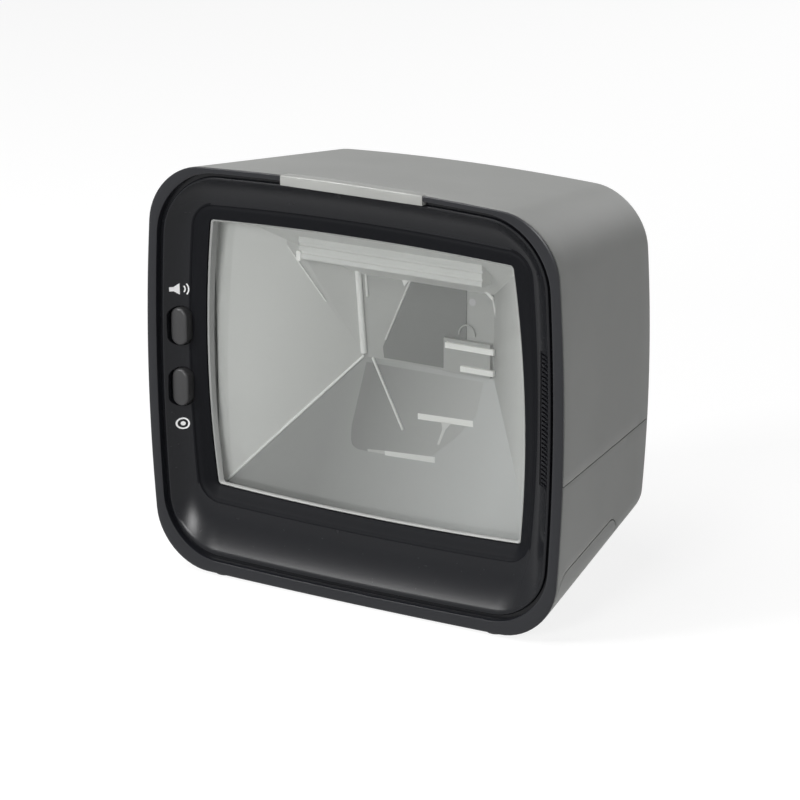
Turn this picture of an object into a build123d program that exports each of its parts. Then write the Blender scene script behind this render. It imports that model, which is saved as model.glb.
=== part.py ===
"""Upright presentation scanner, a bench-top code reader with a tall recessed window.

Millimetres, +Z up.  The front looks along -Y.  Depths are measured back from the front
edge of the housing, and the origin is under the middle of the bounding box.
"""
from build123d import *
import os
from dataclasses import astuple, dataclass, replace

os.makedirs("parts", exist_ok=True)

# Overall size
WIDTH = 152.0
HEIGHT = 137.0
DEPTH = 97.0

# Housing shells
WALL = 2.4
LIP = 1.1
FRONT_LOW = 1.6
REAR_RIM_DEPTH = 79.0
REAR_NARROWING = 11.0
REAR_TOP_DROP = 9.3
REAR_LOW_RISE = 20.0
REAR_ROUND = 5.0
INNER_ROUND = 0.4
FRONT_ROUND = 0.6
BULGE_INSET = 13.0
BULGE_TAPER = 9.0
BULGE_ROUND = 5.0
BULGE_CORNER = 14.0
SEAM = 0.3
SEAM_HEIGHT = 52.5
TONGUE = 1.2
TONGUE_RISE = 3.0
TONGUE_FRONT = 28.0
SKIRT_TOP = 27.4
SKIRT_SLOPE = 5.4
SKIRT_REAR = 52.0
SKIRT_FRONT = 2.0
SKIRT_ROUND = 7.0

# Keel under the belly
KEEL_HALF_WIDTH = 36.0
KEEL_FRONT = 7.0
KEEL_REAR = 86.0
KEEL_LOW = 1.2
KEEL_TOP = 24.0
KEEL_CORNER = 6.0

# Feet
FOOT_RADIUS = 4.0
FRONT_FOOT_X = WIDTH / 2 - 25.5
FRONT_FOOT_DEPTH = 5.6
REAR_FOOT_X = 28.0
REAR_FOOT_DEPTH = 78.0
FRONT_FOOT_HEIGHT = 3.0
FOOT_PAD_LOW = 2.0
FOOT_PAD_RISE = 2.6
FOOT_PAD_LAP = 0.8
REAR_FOOT_HEIGHT = 2.4
FOOT_EASE = 0.5

# Bezel
FIT = 0.15
BEZEL_FRONT = 0.3
BEZEL_WALL = 2.2
BEZEL_EDGE = 1.3
CORE_MARGIN = 3.0
BEZEL_RISE = 0.3
POCKET_DEPTH = 6.0
EDGE_FLAT = 0.6
GROOVE_DEPTH_AT = 1.2
BAND_DEPTH_AT = 4.5
BAND_SHARE = 0.47
STEP_DEPTH_AT = 6.2
OPENING_DEPTH_AT = 7.9
OPENING_LEAN = 2.1
OPENING_LEAN_REACH = 1.7
GROOVE_WIDTH = 0.9
GROOVE_CUT = 0.9
GROOVE_INSET = 4.4
STEP_INSET = 12.7
OPENING_INSET = 17.7

# Window
SEAL_THICK = 0.6
SEAL_LIP = 1.4
SEAL_LIP_BACK = 0.4
FRAME_THICK = 1.2
FRAME_WIDTH = 2.0
GLASS_THICK = 2.5
GLASS_LAP = 1.4

# Indicator light
INDICATOR_X = 1.5
INDICATOR_HALF = 25.4
INDICATOR_LOW = HEIGHT - 3.6
INDICATOR_REACH = 4.8
RIB_HALF = 22.0
RIB_ROOT = (3.3, 1.4)
RIB_FRONT = 4.0
RIB_REAR = 11.8
RIB_SINK = 0.9
RIB_HEIGHT = 0.8
LAMP_HEIGHT = 1.6
LAMP_WIDTH = 2.8
INDICATOR_BOARD_FRONT = 9.8
INDICATOR_BOARD_REAR = 16.0
INDICATOR_LEDS = 5

# Buttons and their switches
BUTTON_X = 10.1 - WIDTH / 2
BUTTON_WIDTH = 6.2
BUTTON_HEIGHT = 12.5
BUTTON_ZS = {"volume": 80.9, "tone": 60.6}
BUTTON_FRONT = 3.4
BUTTON_GAP = 0.3
BUTTON_TRAVEL = 1.0
COLLAR = 0.5
COLLAR_THICK = 1.0
PLUNGER_RADIUS = 1.6
PLUNGER_LENGTH = 2.9
SWITCH_SIZE = 5.2
SWITCH_THICK = 3.2
BOARD = 1.6
BUTTON_BOARD_X = (BUTTON_X - 2.9, BUTTON_X + 3.5)
BUTTON_BOARD_Z = (48.0, 94.0)
BOSS_RADIUS = 2.6

# Speaker
GRILLE_X = WIDTH / 2 - 8.7
GRILLE_WIDTH = 4.6
GRILLE_Z = (50.3, 92.3)
GRILLE_SINK = 0.25
GRILLE_SLOT = 1.1
GRILLE_PITCH = 2.3
SPEAKER_X = (GRILLE_X - 9.0, GRILLE_X + 1.2)
SPEAKER_THICK = 5.0
DUCT_WALL = 1.0
DUCT_REAR = 19.5

# Optics chamber
CHAMBER_REAR = 43.5
MOUTH_HALF = WIDTH / 2 - 17.9
MOUTH_LOW = FRONT_LOW + 23.7
MOUTH_HIGH = HEIGHT - 18.0
REAR_HALF = 27.0
REAR_LOW = 67.5
REAR_HIGH = 95.0
PLATE = 1.2
CHASSIS_WALL = 2.0
FLANGE_THICK = 2.0
FLANGE_LAP = 0.8
FLANGE_CORNER = 4.0
EAR_RADIUS = 4.0
EAR_X = MOUTH_HALF - 2.1
EAR_Z = (MOUTH_LOW - 4.8, MOUTH_HIGH + 5.5)
PORT_X = (-12.4, 17.0)
PORT_MARGIN = 1.2
BELLY_OPENING_REAR = 72.0

# Hanging diffuser
DIFFUSER_HALF = 33.5
DIFFUSER_DEPTHS = (24.5, 30.5)
DIFFUSER_LOW = 102.8
DIFFUSER_WALL = 1.2
LAMP_GAP = 0.6

# Light bars beside the port
BAR_BOARD_X = (9.6, 26.6)
BAR_BOARD_Z = (68.0, 79.0)
BAR_THICK = 1.2
BAR_HEIGHT = 1.8
BAR_RIGHT = 28.4
BARS = {"upper": (10.8, 77.0), "lower": (16.4, 70.0)}

# Camera
CAMERA_X = -2.0
CAMERA_Z = 82.0
BARREL_RADIUS = 7.5
BARREL_LENGTH = 11.0
LENS_RADIUS = 5.5
LENS_THICK = 2.5
CAMERA_BOARD_HALF = 15.0
CAMERA_BOARD_HIGH = 12.0
CAMERA_POST_X = 11.5
CAMERA_POST_RADIUS = 2.2

# Main board
MAIN_BOARD_HALF = WIDTH / 2 - 20.0
MAIN_BOARD_Z = (31.0, 111.0)
MAIN_BOARD_CLEARANCE = 1.5
MAIN_BOSS_X = MAIN_BOARD_HALF - 4.0
MAIN_BOSS_Z = (MAIN_BOARD_Z[0] + 6.0, MAIN_BOARD_Z[1] - 6.0)
MAIN_BOSS_RADIUS = 3.0
SHIELD_PLACE = (-28.0, 84.0)
SHIELD_SIZE = (34.0, 30.0)
# Larger components on the main board, as (x, z, width, height, thickness)
CHIPS = [(6, 96, 12, 10, 1.6), (24, 92, 9, 9, 1.4), (40, 92, 10, 14, 2.4), (8, 74, 10, 8, 1.6),
         (30, 66, 14, 12, 2.0), (44, 54, 8, 8, 2.8), (-30, 54, 12, 12, 1.6), (-10, 58, 7, 7, 1.4)]

# Interface board and sockets in the keel
INTERFACE_HALF = 31.0
INTERFACE_LEAD = 8.0
INTERFACE_STANDOFF = 1.4
SOCKET_WIDTH = 15.0
SOCKET_HEIGHT = 13.0
SOCKET_LENGTH = 16.0
SOCKET_CLEARANCE = 1.0
SOCKET_WALL = 1.6
SOCKET_XS = {"host": -19.0, "aux": 0.0}
SOCKET_PROUD = 0.2
LATCH_WIDTH = 5.0
POWER_X = 20.0
POWER_WIDTH = 11.0
POWER_HEIGHT = 8.6
RIBBON_HALF = 10.0
RIBBON_THICK = 0.4
HEADER_THICK = 3.0

# Mounting inserts
INSERT_X = 25.0
INSERT_DEPTHS = (20.0, 46.0)
INSERT_RADIUS = 2.8
INSERT_BORE = 1.65
INSERT_LENGTH = 6.0
INSERT_BOSS_RADIUS = 4.6

# Screws
SCREW_RADIUS = 1.2
SCREW_HEAD_RADIUS = 2.3
SCREW_HEAD = 1.4
SHELL_SCREW_X = WIDTH / 2 - 24.0
SHELL_BOSS_RADIUS = 3.4
SHELL_BOSS_RISE = 14.0
SHELL_BOSS_DROP = 12.0
BASE_SCREW_X = WIDTH / 2 - 30.0
BASE_SCREW_BEHIND = 5.0
BASE_SCREW_SINK = 1.2
TAB_HALF = 5.0
TAB_REACH = 10.0
TAB_THICK = 2.2


@dataclass
class Outline:
    """A four-sided outline seen from the front, with bulging sides and round corners."""

    half_width: float
    low: float
    high: float
    side_bow: float
    top_bow: float
    low_bow: float
    top_corner: float
    low_corner: float

    def inset(self, step):
        """The same outline drawn in by a step all round."""
        return replace(
            self,
            half_width=self.half_width - step,
            low=self.low + step,
            high=self.high - step,
            top_corner=max(self.top_corner - step, EDGE_FLAT),
            low_corner=max(self.low_corner - step, EDGE_FLAT),
        )

    def face(self, depth, lean=0.0):
        """The outline as a flat face at a depth, its top leant forward about its middle."""
        side = self.half_width - self.side_bow
        low = self.low + self.low_bow
        high = self.high - self.top_bow
        middle = (low + high) / 2
        flat = make_face(
            [
                bowed_edge((-side, low), (0, self.low), (side, low)),
                bowed_edge((side, low), (self.half_width, middle), (side, high)),
                bowed_edge((side, high), (0, self.high), (-side, high)),
                bowed_edge((-side, high), (-self.half_width, middle), (-side, low)),
            ]
        )
        flat = fillet(flat.vertices().sort_by(Axis.Y)[:2], self.low_corner)
        flat = fillet(flat.vertices().sort_by(Axis.Y)[-2:], self.top_corner)
        return front_plane(depth) * Pos(0, middle) * Rot(lean, 0, 0) * Pos(0, -middle) * flat


def bowed_edge(start, crown, end):
    """An arc through three points, or a line where they are in line."""
    rise = (Vector(*crown) - (Vector(*start) + Vector(*end)) / 2).length
    if rise < 0.01:
        return Line(start, end)
    return ThreePointArc(start, crown, end)


def between(near, far, share):
    """The outline a share of the way from one outline to another."""
    return Outline(*[a + (b - a) * share for a, b in zip(astuple(near), astuple(far))])


def y_at(depth):
    """Row-frame Y of a depth behind the front."""
    return depth - DEPTH / 2


def front_plane(depth):
    """An upright plane that faces the front, with its own y along +Z."""
    return Plane(origin=(0, y_at(depth), 0), x_dir=(1, 0, 0), z_dir=(0, -1, 0))


def block(across, depths, heights):
    """A box between limits across, in depth and in height."""
    size = [pair[1] - pair[0] for pair in (across, depths, heights)]
    centre = [(pair[0] + pair[1]) / 2 for pair in (across, depths, heights)]
    return Pos(centre[0], y_at(centre[1]), centre[2]) * Box(*size)


def rod(x, z, depths, radius):
    """A round bar that runs in depth."""
    return Pos(x, y_at(sum(depths) / 2), z) * Rot(90, 0, 0) * Cylinder(radius, depths[1] - depths[0])


def post(x, depth, heights, radius):
    """A round bar that stands upright."""
    return Pos(x, y_at(depth), sum(heights) / 2) * Cylinder(radius, heights[1] - heights[0])


def slot_bar(x, z, width, height, depths):
    """An upright bar with round ends that runs in depth."""
    outline = front_plane(depths[0]) * Pos(x, z) * SlotOverall(height, width, rotation=90)
    return extrude(outline, amount=depths[0] - depths[1])


def stack(sections):
    """A ruled solid through outlines, given as (depth, outline) or (depth, outline, lean)."""
    return loft([outline.face(depth, *lean) for depth, outline, *lean in sections], ruled=True)


def sloped_box(front, rear):
    """A box whose section changes evenly; each end is (depth, across limits, height limits)."""
    faces = []
    for depth, across, heights in (front, rear):
        rectangle = Rectangle(across[1] - across[0], heights[1] - heights[0])
        middle = Pos((across[0] + across[1]) / 2, (heights[0] + heights[1]) / 2)
        faces.append(front_plane(depth) * middle * rectangle)
    return loft(faces, ruled=True)


def joined(pieces):
    """All pieces fused into one shape."""
    pieces = list(pieces)
    return pieces[0].fuse(*pieces[1:]) if len(pieces) > 1 else pieces[0]


def group(solids):
    """Separate solids kept together as one node."""
    return Compound(children=[solid for shape in solids for solid in shape.solids()])


UP = Rot(180, 0, 0)
DOWN = Rot(0, 0, 0)
FORWARD = Rot(-90, 0, 0)
BACKWARD = Rot(90, 0, 0)


def screw(x, depth, z, length, way):
    """A pan-head screw whose head seats at a point and whose shank runs one way from it."""
    shank = Pos(0, 0, -length / 2) * Cylinder(SCREW_RADIUS, length)
    head = Pos(0, 0, SCREW_HEAD / 2) * Cylinder(SCREW_HEAD_RADIUS, SCREW_HEAD)
    return Pos(x, y_at(depth), z) * way * (shank + head)


# ------------------------------------------------------------------ housing
FRONT_RIM = Outline(
    half_width=WIDTH / 2,
    low=FRONT_LOW,
    high=HEIGHT,
    side_bow=3.6,
    top_bow=2.7,
    low_bow=0.0,
    top_corner=18.0,
    low_corner=18.0,
)
REAR_RIM = Outline(
    half_width=WIDTH / 2 - REAR_NARROWING,
    low=FRONT_LOW + REAR_LOW_RISE,
    high=HEIGHT - REAR_TOP_DROP,
    side_bow=2.6,
    top_bow=2.2,
    low_bow=0.0,
    top_corner=17.5,
    low_corner=10.0,
)


def body_outline(depth):
    """The housing's outer outline at a depth."""
    return between(FRONT_RIM, REAR_RIM, depth / REAR_RIM_DEPTH)


def body(step, front):
    """The housing's filled form, drawn in by a step, from a depth to the back."""
    rear = REAR_RIM_DEPTH - step
    form = stack([(depth, body_outline(depth).inset(step)) for depth in (front, rear)])
    form = fillet(form.faces().sort_by(Axis.Y)[-1].edges(), max(REAR_ROUND - step, INNER_ROUND))
    foot = replace(body_outline(REAR_RIM_DEPTH).inset(BULGE_INSET + step),
                   top_corner=BULGE_CORNER - step, low_corner=BULGE_CORNER - step)
    crown = replace(foot.inset(BULGE_TAPER), top_corner=foot.top_corner, low_corner=foot.low_corner)
    bulge = stack([(REAR_RIM_DEPTH - 2 * WALL, foot), (DEPTH - step, crown)])
    bulge = fillet(bulge.faces().sort_by(Axis.Y)[-1].edges(), max(BULGE_ROUND - step, INNER_ROUND))
    return form + bulge


def inner_body(step, front):
    """The housing's form drawn in by a step and cut off square at a depth."""
    return body(step, -WALL) & block((-WIDTH, WIDTH), (front, 2 * DEPTH), (-HEIGHT, 2 * HEIGHT))


def bezel_outline(depth, gap):
    """The bezel's outer outline at a depth, with a gap to its pocket."""
    edge = body_outline(depth).inset(LIP + gap)
    return replace(edge, low=edge.low + BEZEL_RISE)


def above(height):
    """Everything above a height."""
    return block((-WIDTH, WIDTH), (-DEPTH, 2 * DEPTH), (height, 2 * HEIGHT))


def below(height):
    """Everything below a height."""
    return block((-WIDTH, WIDTH), (-DEPTH, 2 * DEPTH), (-HEIGHT, height))


def skirt_zone(grow):
    """The part of the housing that belongs to the base cover, grown by a gap."""
    top = SKIRT_TOP + grow
    across = (-WIDTH, WIDTH)
    front = (SKIRT_FRONT, across, (-HEIGHT, top - SKIRT_SLOPE))
    zone = sloped_box(front, (SKIRT_REAR + grow, across, (-HEIGHT, top)))
    zone = fillet(zone.edges().filter_by(Axis.X).sort_by(Axis.Z)[-2:], SKIRT_ROUND)
    nose = block(across, (-DEPTH, SKIRT_FRONT), (-HEIGHT, top - SKIRT_SLOPE - SKIRT_ROUND))
    return zone + nose


def keel(step):
    """The keel's block with rounded corners, drawn in by a step."""
    half = KEEL_HALF_WIDTH - step
    form = block((-half, half), (KEEL_FRONT + step, KEEL_REAR - step), (KEEL_LOW + step, KEEL_TOP - step))
    return fillet(form.edges().filter_by(Axis.Z), KEEL_CORNER - step)


NOSE = [(0, body_outline(0).inset(FRONT_ROUND)), (FRONT_ROUND / 4, body_outline(0).inset(FRONT_ROUND / 4)),
        (FRONT_ROUND, body_outline(FRONT_ROUND))]
OUTER = body(0, FRONT_ROUND) + stack(NOSE)
HOLLOW = body(WALL, -WALL)
POCKET = stack([(depth, bezel_outline(depth, 0)) for depth in (-WALL, POCKET_DEPTH)])
NOTCH = block((INDICATOR_X - INDICATOR_HALF - FIT, INDICATOR_X + INDICATOR_HALF + FIT),
              (-WALL, INDICATOR_REACH + FIT), (INDICATOR_LOW - FIT, 2 * HEIGHT))
SHELL = OUTER - HOLLOW - POCKET


def shell_screw_depth():
    """Where the shell screws stand, just ahead of the main board."""
    return main_board_depth() - SHELL_BOSS_RADIUS - EDGE_FLAT


def main_bosses(height):
    """The pair of rear-wall bosses at one height that carry the main board."""
    depths = (main_board_depth() + BOARD, REAR_RIM_DEPTH)
    return [rod(side * MAIN_BOSS_X, height, depths, MAIN_BOSS_RADIUS) for side in (-1, 1)]


def shell_bosses(heights):
    """The pair of bosses on the side walls that take the shell screws."""
    bosses = []
    for side in (-1, 1):
        x = side * SHELL_SCREW_X
        web = block(sorted((x, side * WIDTH / 2)),
                    (shell_screw_depth() - WALL / 2, shell_screw_depth() + WALL / 2), heights)
        bosses.append(post(x, shell_screw_depth(), heights, SHELL_BOSS_RADIUS) + web)
    return bosses


def housing_upper():
    """The upper shell, with the light-bar notch and its inner bosses."""
    bosses = main_bosses(MAIN_BOSS_Z[1])
    bosses += shell_bosses((SEAM_HEIGHT, SEAM_HEIGHT + SHELL_BOSS_RISE))
    bosses += [post(x, INDICATOR_SCREW_DEPTH, (INDICATOR_BOARD_TOP, HEIGHT), BOSS_RADIUS)
               for x in INDICATOR_SCREW_XS]
    shape = joined([SHELL & above(SEAM_HEIGHT)] + [boss & OUTER for boss in bosses]) - NOTCH
    for fastener in shell_screws() + main_screws() + indicator_screws():
        shape = shape - fastener
    return shape


def housing_lower():
    """The lower shell, with the tongue that fits inside the upper one."""
    core = inner_body(WALL + TONGUE, 0)
    root = inner_body(WALL, POCKET_DEPTH) - core
    root = root & above(SEAM_HEIGHT - TONGUE_RISE) & below(SEAM_HEIGHT - SEAM)
    tongue = (inner_body(WALL + FIT, POCKET_DEPTH + FIT) - core) & above(SEAM_HEIGHT - TONGUE_RISE)
    tongue = tongue & below(SEAM_HEIGHT + TONGUE_RISE)
    rear_only = block((-WIDTH, WIDTH), (TONGUE_FRONT, 2 * DEPTH), (0, HEIGHT))
    root = root & rear_only
    tongue = tongue & rear_only
    for boss in shell_bosses((SEAM_HEIGHT - SEAM, SEAM_HEIGHT + SHELL_BOSS_RISE)):
        clear = boss.bounding_box()
        tongue = tongue - Pos(*clear.center()) * Box(*(clear.size + Vector(2 * FIT, 2 * FIT, 2 * FIT)))
    bosses = main_bosses(MAIN_BOSS_Z[0])
    bosses += shell_bosses((SEAM_HEIGHT - SHELL_BOSS_DROP, SEAM_HEIGHT - SEAM))
    shape = joined([SHELL & below(SEAM_HEIGHT - SEAM), root, tongue] + [boss & OUTER for boss in bosses])
    half = KEEL_HALF_WIDTH - WALL
    opening = block((-half, half), (KEEL_FRONT + WALL, BELLY_OPENING_REAR), (0, KEEL_TOP))
    shape = shape - skirt_zone(SEAM) - opening
    for fastener in shell_screws() + main_screws() + base_screws():
        shape = shape - fastener
    return shape


def insert_places():
    """Where the threaded inserts stand, as (x, depth)."""
    return [(side * INSERT_X, depth) for side in (-1, 1) for depth in INSERT_DEPTHS]


def base_cover():
    """The base cover: skirt, keel, screw tabs, insert bosses and board standoffs."""
    skirt = SHELL & skirt_zone(0) & below(SEAM_HEIGHT - SEAM)
    belly = keel(0) - OUTER
    layer = inner_body(WALL, 0) - inner_body(WALL + TAB_THICK, 0)
    tabs = []
    for side in (-1, 1):
        x = side * BASE_SCREW_X
        tabs.append(layer & block((x - TAB_HALF, x + TAB_HALF),
                                  (SKIRT_REAR - TAB_REACH, SKIRT_REAR + TAB_REACH), (-1, SKIRT_TOP)))
    pads = [post(side * FRONT_FOOT_X, FRONT_FOOT_DEPTH, (FOOT_PAD_LOW, FOOT_PAD_LOW + FOOT_PAD_RISE),
                 FOOT_RADIUS + FOOT_PAD_LAP) - POCKET for side in (-1, 1)]
    shape = joined([skirt, belly] + tabs + pads) - keel(WALL)
    floor = KEEL_LOW + WALL
    bosses = [post(x, depth, (KEEL_LOW, KEEL_LOW + INSERT_LENGTH + PLATE), INSERT_BOSS_RADIUS)
              for x, depth in insert_places()]
    bosses += [post(x, depth, (KEEL_LOW, floor + INTERFACE_STANDOFF), BOSS_RADIUS)
               for x, depth in interface_screw_places()]
    shape = joined([shape] + bosses)
    for x, depth in insert_places():
        shape = shape - post(x, depth, (0, KEEL_LOW + INSERT_LENGTH), INSERT_RADIUS)
    for foot in front_feet_forms() + rear_feet_forms():
        shape = shape - foot
    for socket in socket_apertures():
        shape = shape - socket
    for part in base_screws() + interface_screws():
        shape = shape - part
    return shape


def front_feet_forms():
    """The two front feet as plain round posts."""
    return [post(side * FRONT_FOOT_X, FRONT_FOOT_DEPTH, (0, FRONT_FOOT_HEIGHT), FOOT_RADIUS)
            for side in (-1, 1)]


def rear_feet_forms():
    """The two rear feet as plain round posts."""
    return [post(side * REAR_FOOT_X, REAR_FOOT_DEPTH, (0, REAR_FOOT_HEIGHT), FOOT_RADIUS)
            for side in (-1, 1)]


def rounded_foot(form):
    """A foot with its lower rim eased."""
    return chamfer(form.edges().group_by(Axis.Z)[0], FOOT_EASE)


# ------------------------------------------------------------------ bezel and window
EDGE = bezel_outline(BEZEL_FRONT, FIT).inset(EDGE_FLAT)
GROOVE = Outline(half_width=WIDTH / 2 - GROOVE_INSET, low=FRONT_LOW + 3.6, high=HEIGHT - 2.7,
                 side_bow=2.8, top_bow=2.3, low_bow=1.2, top_corner=19.8, low_corner=17.9)
STEP = Outline(half_width=WIDTH / 2 - STEP_INSET, low=FRONT_LOW + 20.3, high=HEIGHT - 13.5,
               side_bow=2.7, top_bow=2.0, low_bow=1.2, top_corner=7.0, low_corner=7.0)
OPENING = Outline(half_width=WIDTH / 2 - OPENING_INSET, low=FRONT_LOW + 24.8, high=HEIGHT - 18.4,
                  side_bow=2.8, top_bow=1.4, low_bow=1.4, top_corner=1.2, low_corner=1.2)
BAND = between(GROOVE, STEP, BAND_SHARE)
BEZEL_BACK = OPENING_DEPTH_AT + OPENING_LEAN_REACH + FRAME_THICK
GLASS_FRONT = BEZEL_BACK + SEAL_THICK
MOUTH_DEPTH = GLASS_FRONT + GLASS_THICK
FLANGE_REAR = MOUTH_DEPTH + FLANGE_THICK


def dish(shift):
    """The space in front of the bezel's dished face, moved back by a shift."""
    return stack(
        [
            (-WALL, EDGE),
            (BEZEL_FRONT + shift, EDGE),
            (GROOVE_DEPTH_AT + shift, GROOVE),
            (BAND_DEPTH_AT + shift, BAND),
            (STEP_DEPTH_AT + shift, STEP),
            (OPENING_DEPTH_AT + shift, OPENING, OPENING_LEAN),
            (CHAMBER_REAR, OPENING),
        ]
    )


def bezel_blank():
    """The dished bezel before its slots are cut."""
    rear = POCKET_DEPTH - FIT
    rim = stack([(depth, bezel_outline(depth, FIT)) for depth in (BEZEL_FRONT, rear)])
    inside = stack([(depth, bezel_outline(depth, FIT).inset(BEZEL_EDGE)) for depth in (0, 3 * rear)])
    core = stack([(depth, BAND.inset(-CORE_MARGIN)) for depth in (BEZEL_FRONT, BEZEL_BACK)])
    frame = stack([(depth, OPENING.inset(-FRAME_WIDTH)) for depth in (0, 3 * rear)])
    whole = rim + core
    return whole - dish(0) - (inside - dish(BEZEL_WALL) - frame)


def groove_ring():
    """The dark groove that runs round the bezel."""
    depths = (0, GROOVE_DEPTH_AT + GROOVE_CUT)
    outer = stack([(depth, GROOVE.inset(-GROOVE_WIDTH / 2)) for depth in depths])
    return outer - stack([(depth, GROOVE.inset(GROOVE_WIDTH / 2)) for depth in depths])


def grille_prism(gap):
    """The grille's upright strip, grown by a gap."""
    half = GRILLE_WIDTH / 2 + gap
    heights = (GRILLE_Z[0] - gap, GRILLE_Z[1] + gap)
    return block((GRILLE_X - half, GRILLE_X + half), (0, MOUTH_DEPTH), heights)


BEZEL_BLANK = bezel_blank()


def front_bezel():
    """The dished bezel with its window, button slots, grille slot, light-bar notch and posts."""
    posts = [rod(x, z, (STEP_DEPTH_AT, MOUTH_DEPTH), EAR_RADIUS) for x, z in ear_places()]
    posts += [rod(x, z, (BUTTON_FRONT + BEZEL_WALL, button_board_depth()), BOSS_RADIUS)
              for x, z in button_screw_places()]
    posts = [post_form - dish(BEZEL_WALL / 2) for post_form in posts]
    shape = joined([BEZEL_BLANK - groove_ring()] + posts)
    for z in BUTTON_ZS.values():
        shape = shape - slot_bar(BUTTON_X, z, BUTTON_WIDTH + 2 * BUTTON_GAP,
                                 BUTTON_HEIGHT + 2 * BUTTON_GAP, (0, GLASS_FRONT))
        shape = shape - slot_bar(BUTTON_X, z, BUTTON_WIDTH + 2 * (COLLAR + BUTTON_GAP),
                                 BUTTON_HEIGHT + 2 * (COLLAR + BUTTON_GAP),
                                 (collar_depth() - BUTTON_GAP, MOUTH_DEPTH + WALL))
    shape = shape - grille_prism(FIT) - NOTCH - indicator_rib(FIT)
    for fastener in chassis_screws() + button_screws():
        shape = shape - fastener
    return shape


def speaker_grille():
    """The slotted strip over the speaker, cut to the bezel's own face and set back a little."""
    strip = Pos(0, GRILLE_SINK, 0) * (BEZEL_BLANK & grille_prism(0))
    count = int((GRILLE_Z[1] - GRILLE_Z[0]) / GRILLE_PITCH) - 1
    start = (sum(GRILLE_Z) - (count - 1) * GRILLE_PITCH) / 2
    half = GRILLE_WIDTH / 2 - EDGE_FLAT
    for row in range(count):
        z = start + row * GRILLE_PITCH
        strip = strip - block((GRILLE_X - half, GRILLE_X + half), (0, MOUTH_DEPTH),
                              (z - GRILLE_SLOT / 2, z + GRILLE_SLOT / 2))
    return strip


def window_seal():
    """The light gasket in front of the glass, with a lip that lines the opening."""
    outer = OPENING.inset(-GLASS_LAP)
    lining = OPENING.inset(FIT)
    inner = OPENING.inset(SEAL_LIP)
    flange = stack([(depth, outer) for depth in (BEZEL_BACK, GLASS_FRONT)])
    lip = stack([(OPENING_DEPTH_AT + SEAL_LIP_BACK, lining, OPENING_LEAN), (GLASS_FRONT, lining)])
    return flange + lip - stack([(depth, inner) for depth in (0, MOUTH_DEPTH)])


def window_glass():
    """The flat window pane."""
    pane = OPENING.inset(-GLASS_LAP)
    return stack([(GLASS_FRONT, pane), (MOUTH_DEPTH, pane)])


# ------------------------------------------------------------------ indicator light
RIB_TOP = INDICATOR_LOW - RIB_SINK
RIB_LOW = RIB_TOP - RIB_HEIGHT
INDICATOR_BOARD_TOP = RIB_LOW - LAMP_HEIGHT - SEAM
INDICATOR_SCREW_DEPTH = INDICATOR_BOARD_REAR - BOSS_RADIUS
INDICATOR_SCREW_XS = [INDICATOR_X + side * (RIB_HALF + BOSS_RADIUS + BOARD) for side in (-1, 1)]


def indicator_rib(gap):
    """The rib under the light bar that takes in the light, grown by a gap."""
    across = (INDICATOR_X - RIB_HALF - gap, INDICATOR_X + RIB_HALF + gap)
    root_front, root_height = RIB_ROOT
    root = block(across, (root_front - gap, INDICATOR_REACH),
                 (INDICATOR_LOW - root_height - gap, INDICATOR_LOW + FIT))
    return root + block(across, (RIB_FRONT - gap, RIB_REAR + gap), (RIB_LOW - gap, RIB_TOP + gap))


def indicator_lens():
    """The white bar that wraps over the top edge, with its inner rib."""
    across = (INDICATOR_X - INDICATOR_HALF, INDICATOR_X + INDICATOR_HALF)
    bar = OUTER & block(across, (0, INDICATOR_REACH), (INDICATOR_LOW, 2 * HEIGHT))
    return bar + indicator_rib(0)


def indicator_board():
    """The small board behind the light bar, with its row of lamps."""
    across = (INDICATOR_SCREW_XS[0] - BOSS_RADIUS, INDICATOR_SCREW_XS[1] + BOSS_RADIUS)
    board = block(across, (INDICATOR_BOARD_FRONT, INDICATOR_BOARD_REAR),
                  (INDICATOR_BOARD_TOP - BOARD, INDICATOR_BOARD_TOP))
    pitch = 2 * (RIB_HALF - LAMP_WIDTH) / (INDICATOR_LEDS - 1)
    for index in range(INDICATOR_LEDS):
        x = INDICATOR_X + pitch * (index - (INDICATOR_LEDS - 1) / 2)
        board = board + block((x - LAMP_WIDTH / 2, x + LAMP_WIDTH / 2),
                              (INDICATOR_BOARD_FRONT, INDICATOR_BOARD_FRONT + LAMP_HEIGHT),
                              (INDICATOR_BOARD_TOP, INDICATOR_BOARD_TOP + LAMP_HEIGHT))
    for fastener in indicator_screws():
        board = board - fastener
    return board


def indicator_screws():
    """Two screws that hold the indicator board up to its posts."""
    return [screw(x, INDICATOR_SCREW_DEPTH, INDICATOR_BOARD_TOP - BOARD, 3 * BOARD, UP)
            for x in INDICATOR_SCREW_XS]


# ------------------------------------------------------------------ buttons
def collar_depth():
    """Front of the button's collar, just behind the bezel's wall."""
    return STEP_DEPTH_AT + BEZEL_WALL + BUTTON_GAP


def switch_depth():
    """Front of the switch bodies."""
    return collar_depth() + COLLAR_THICK + BUTTON_TRAVEL + BUTTON_GAP


def button_board_depth():
    """Front of the switch board."""
    return switch_depth() + SWITCH_THICK


def button_cap(z):
    """An oval cap with an eased face and a collar that keeps it in."""
    cap = slot_bar(BUTTON_X, z, BUTTON_WIDTH, BUTTON_HEIGHT, (BUTTON_FRONT, collar_depth() + COLLAR_THICK))
    cap = fillet(cap.faces().sort_by(Axis.Y)[0].edges(), EDGE_FLAT)
    collar = slot_bar(BUTTON_X, z, BUTTON_WIDTH + 2 * COLLAR, BUTTON_HEIGHT + 2 * COLLAR,
                      (collar_depth(), collar_depth() + COLLAR_THICK))
    return cap + collar


def plunger(z):
    """The switch plunger that rides with its cap."""
    front = collar_depth() + COLLAR_THICK
    return rod(BUTTON_X, z, (front, front + PLUNGER_LENGTH), PLUNGER_RADIUS)


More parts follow.
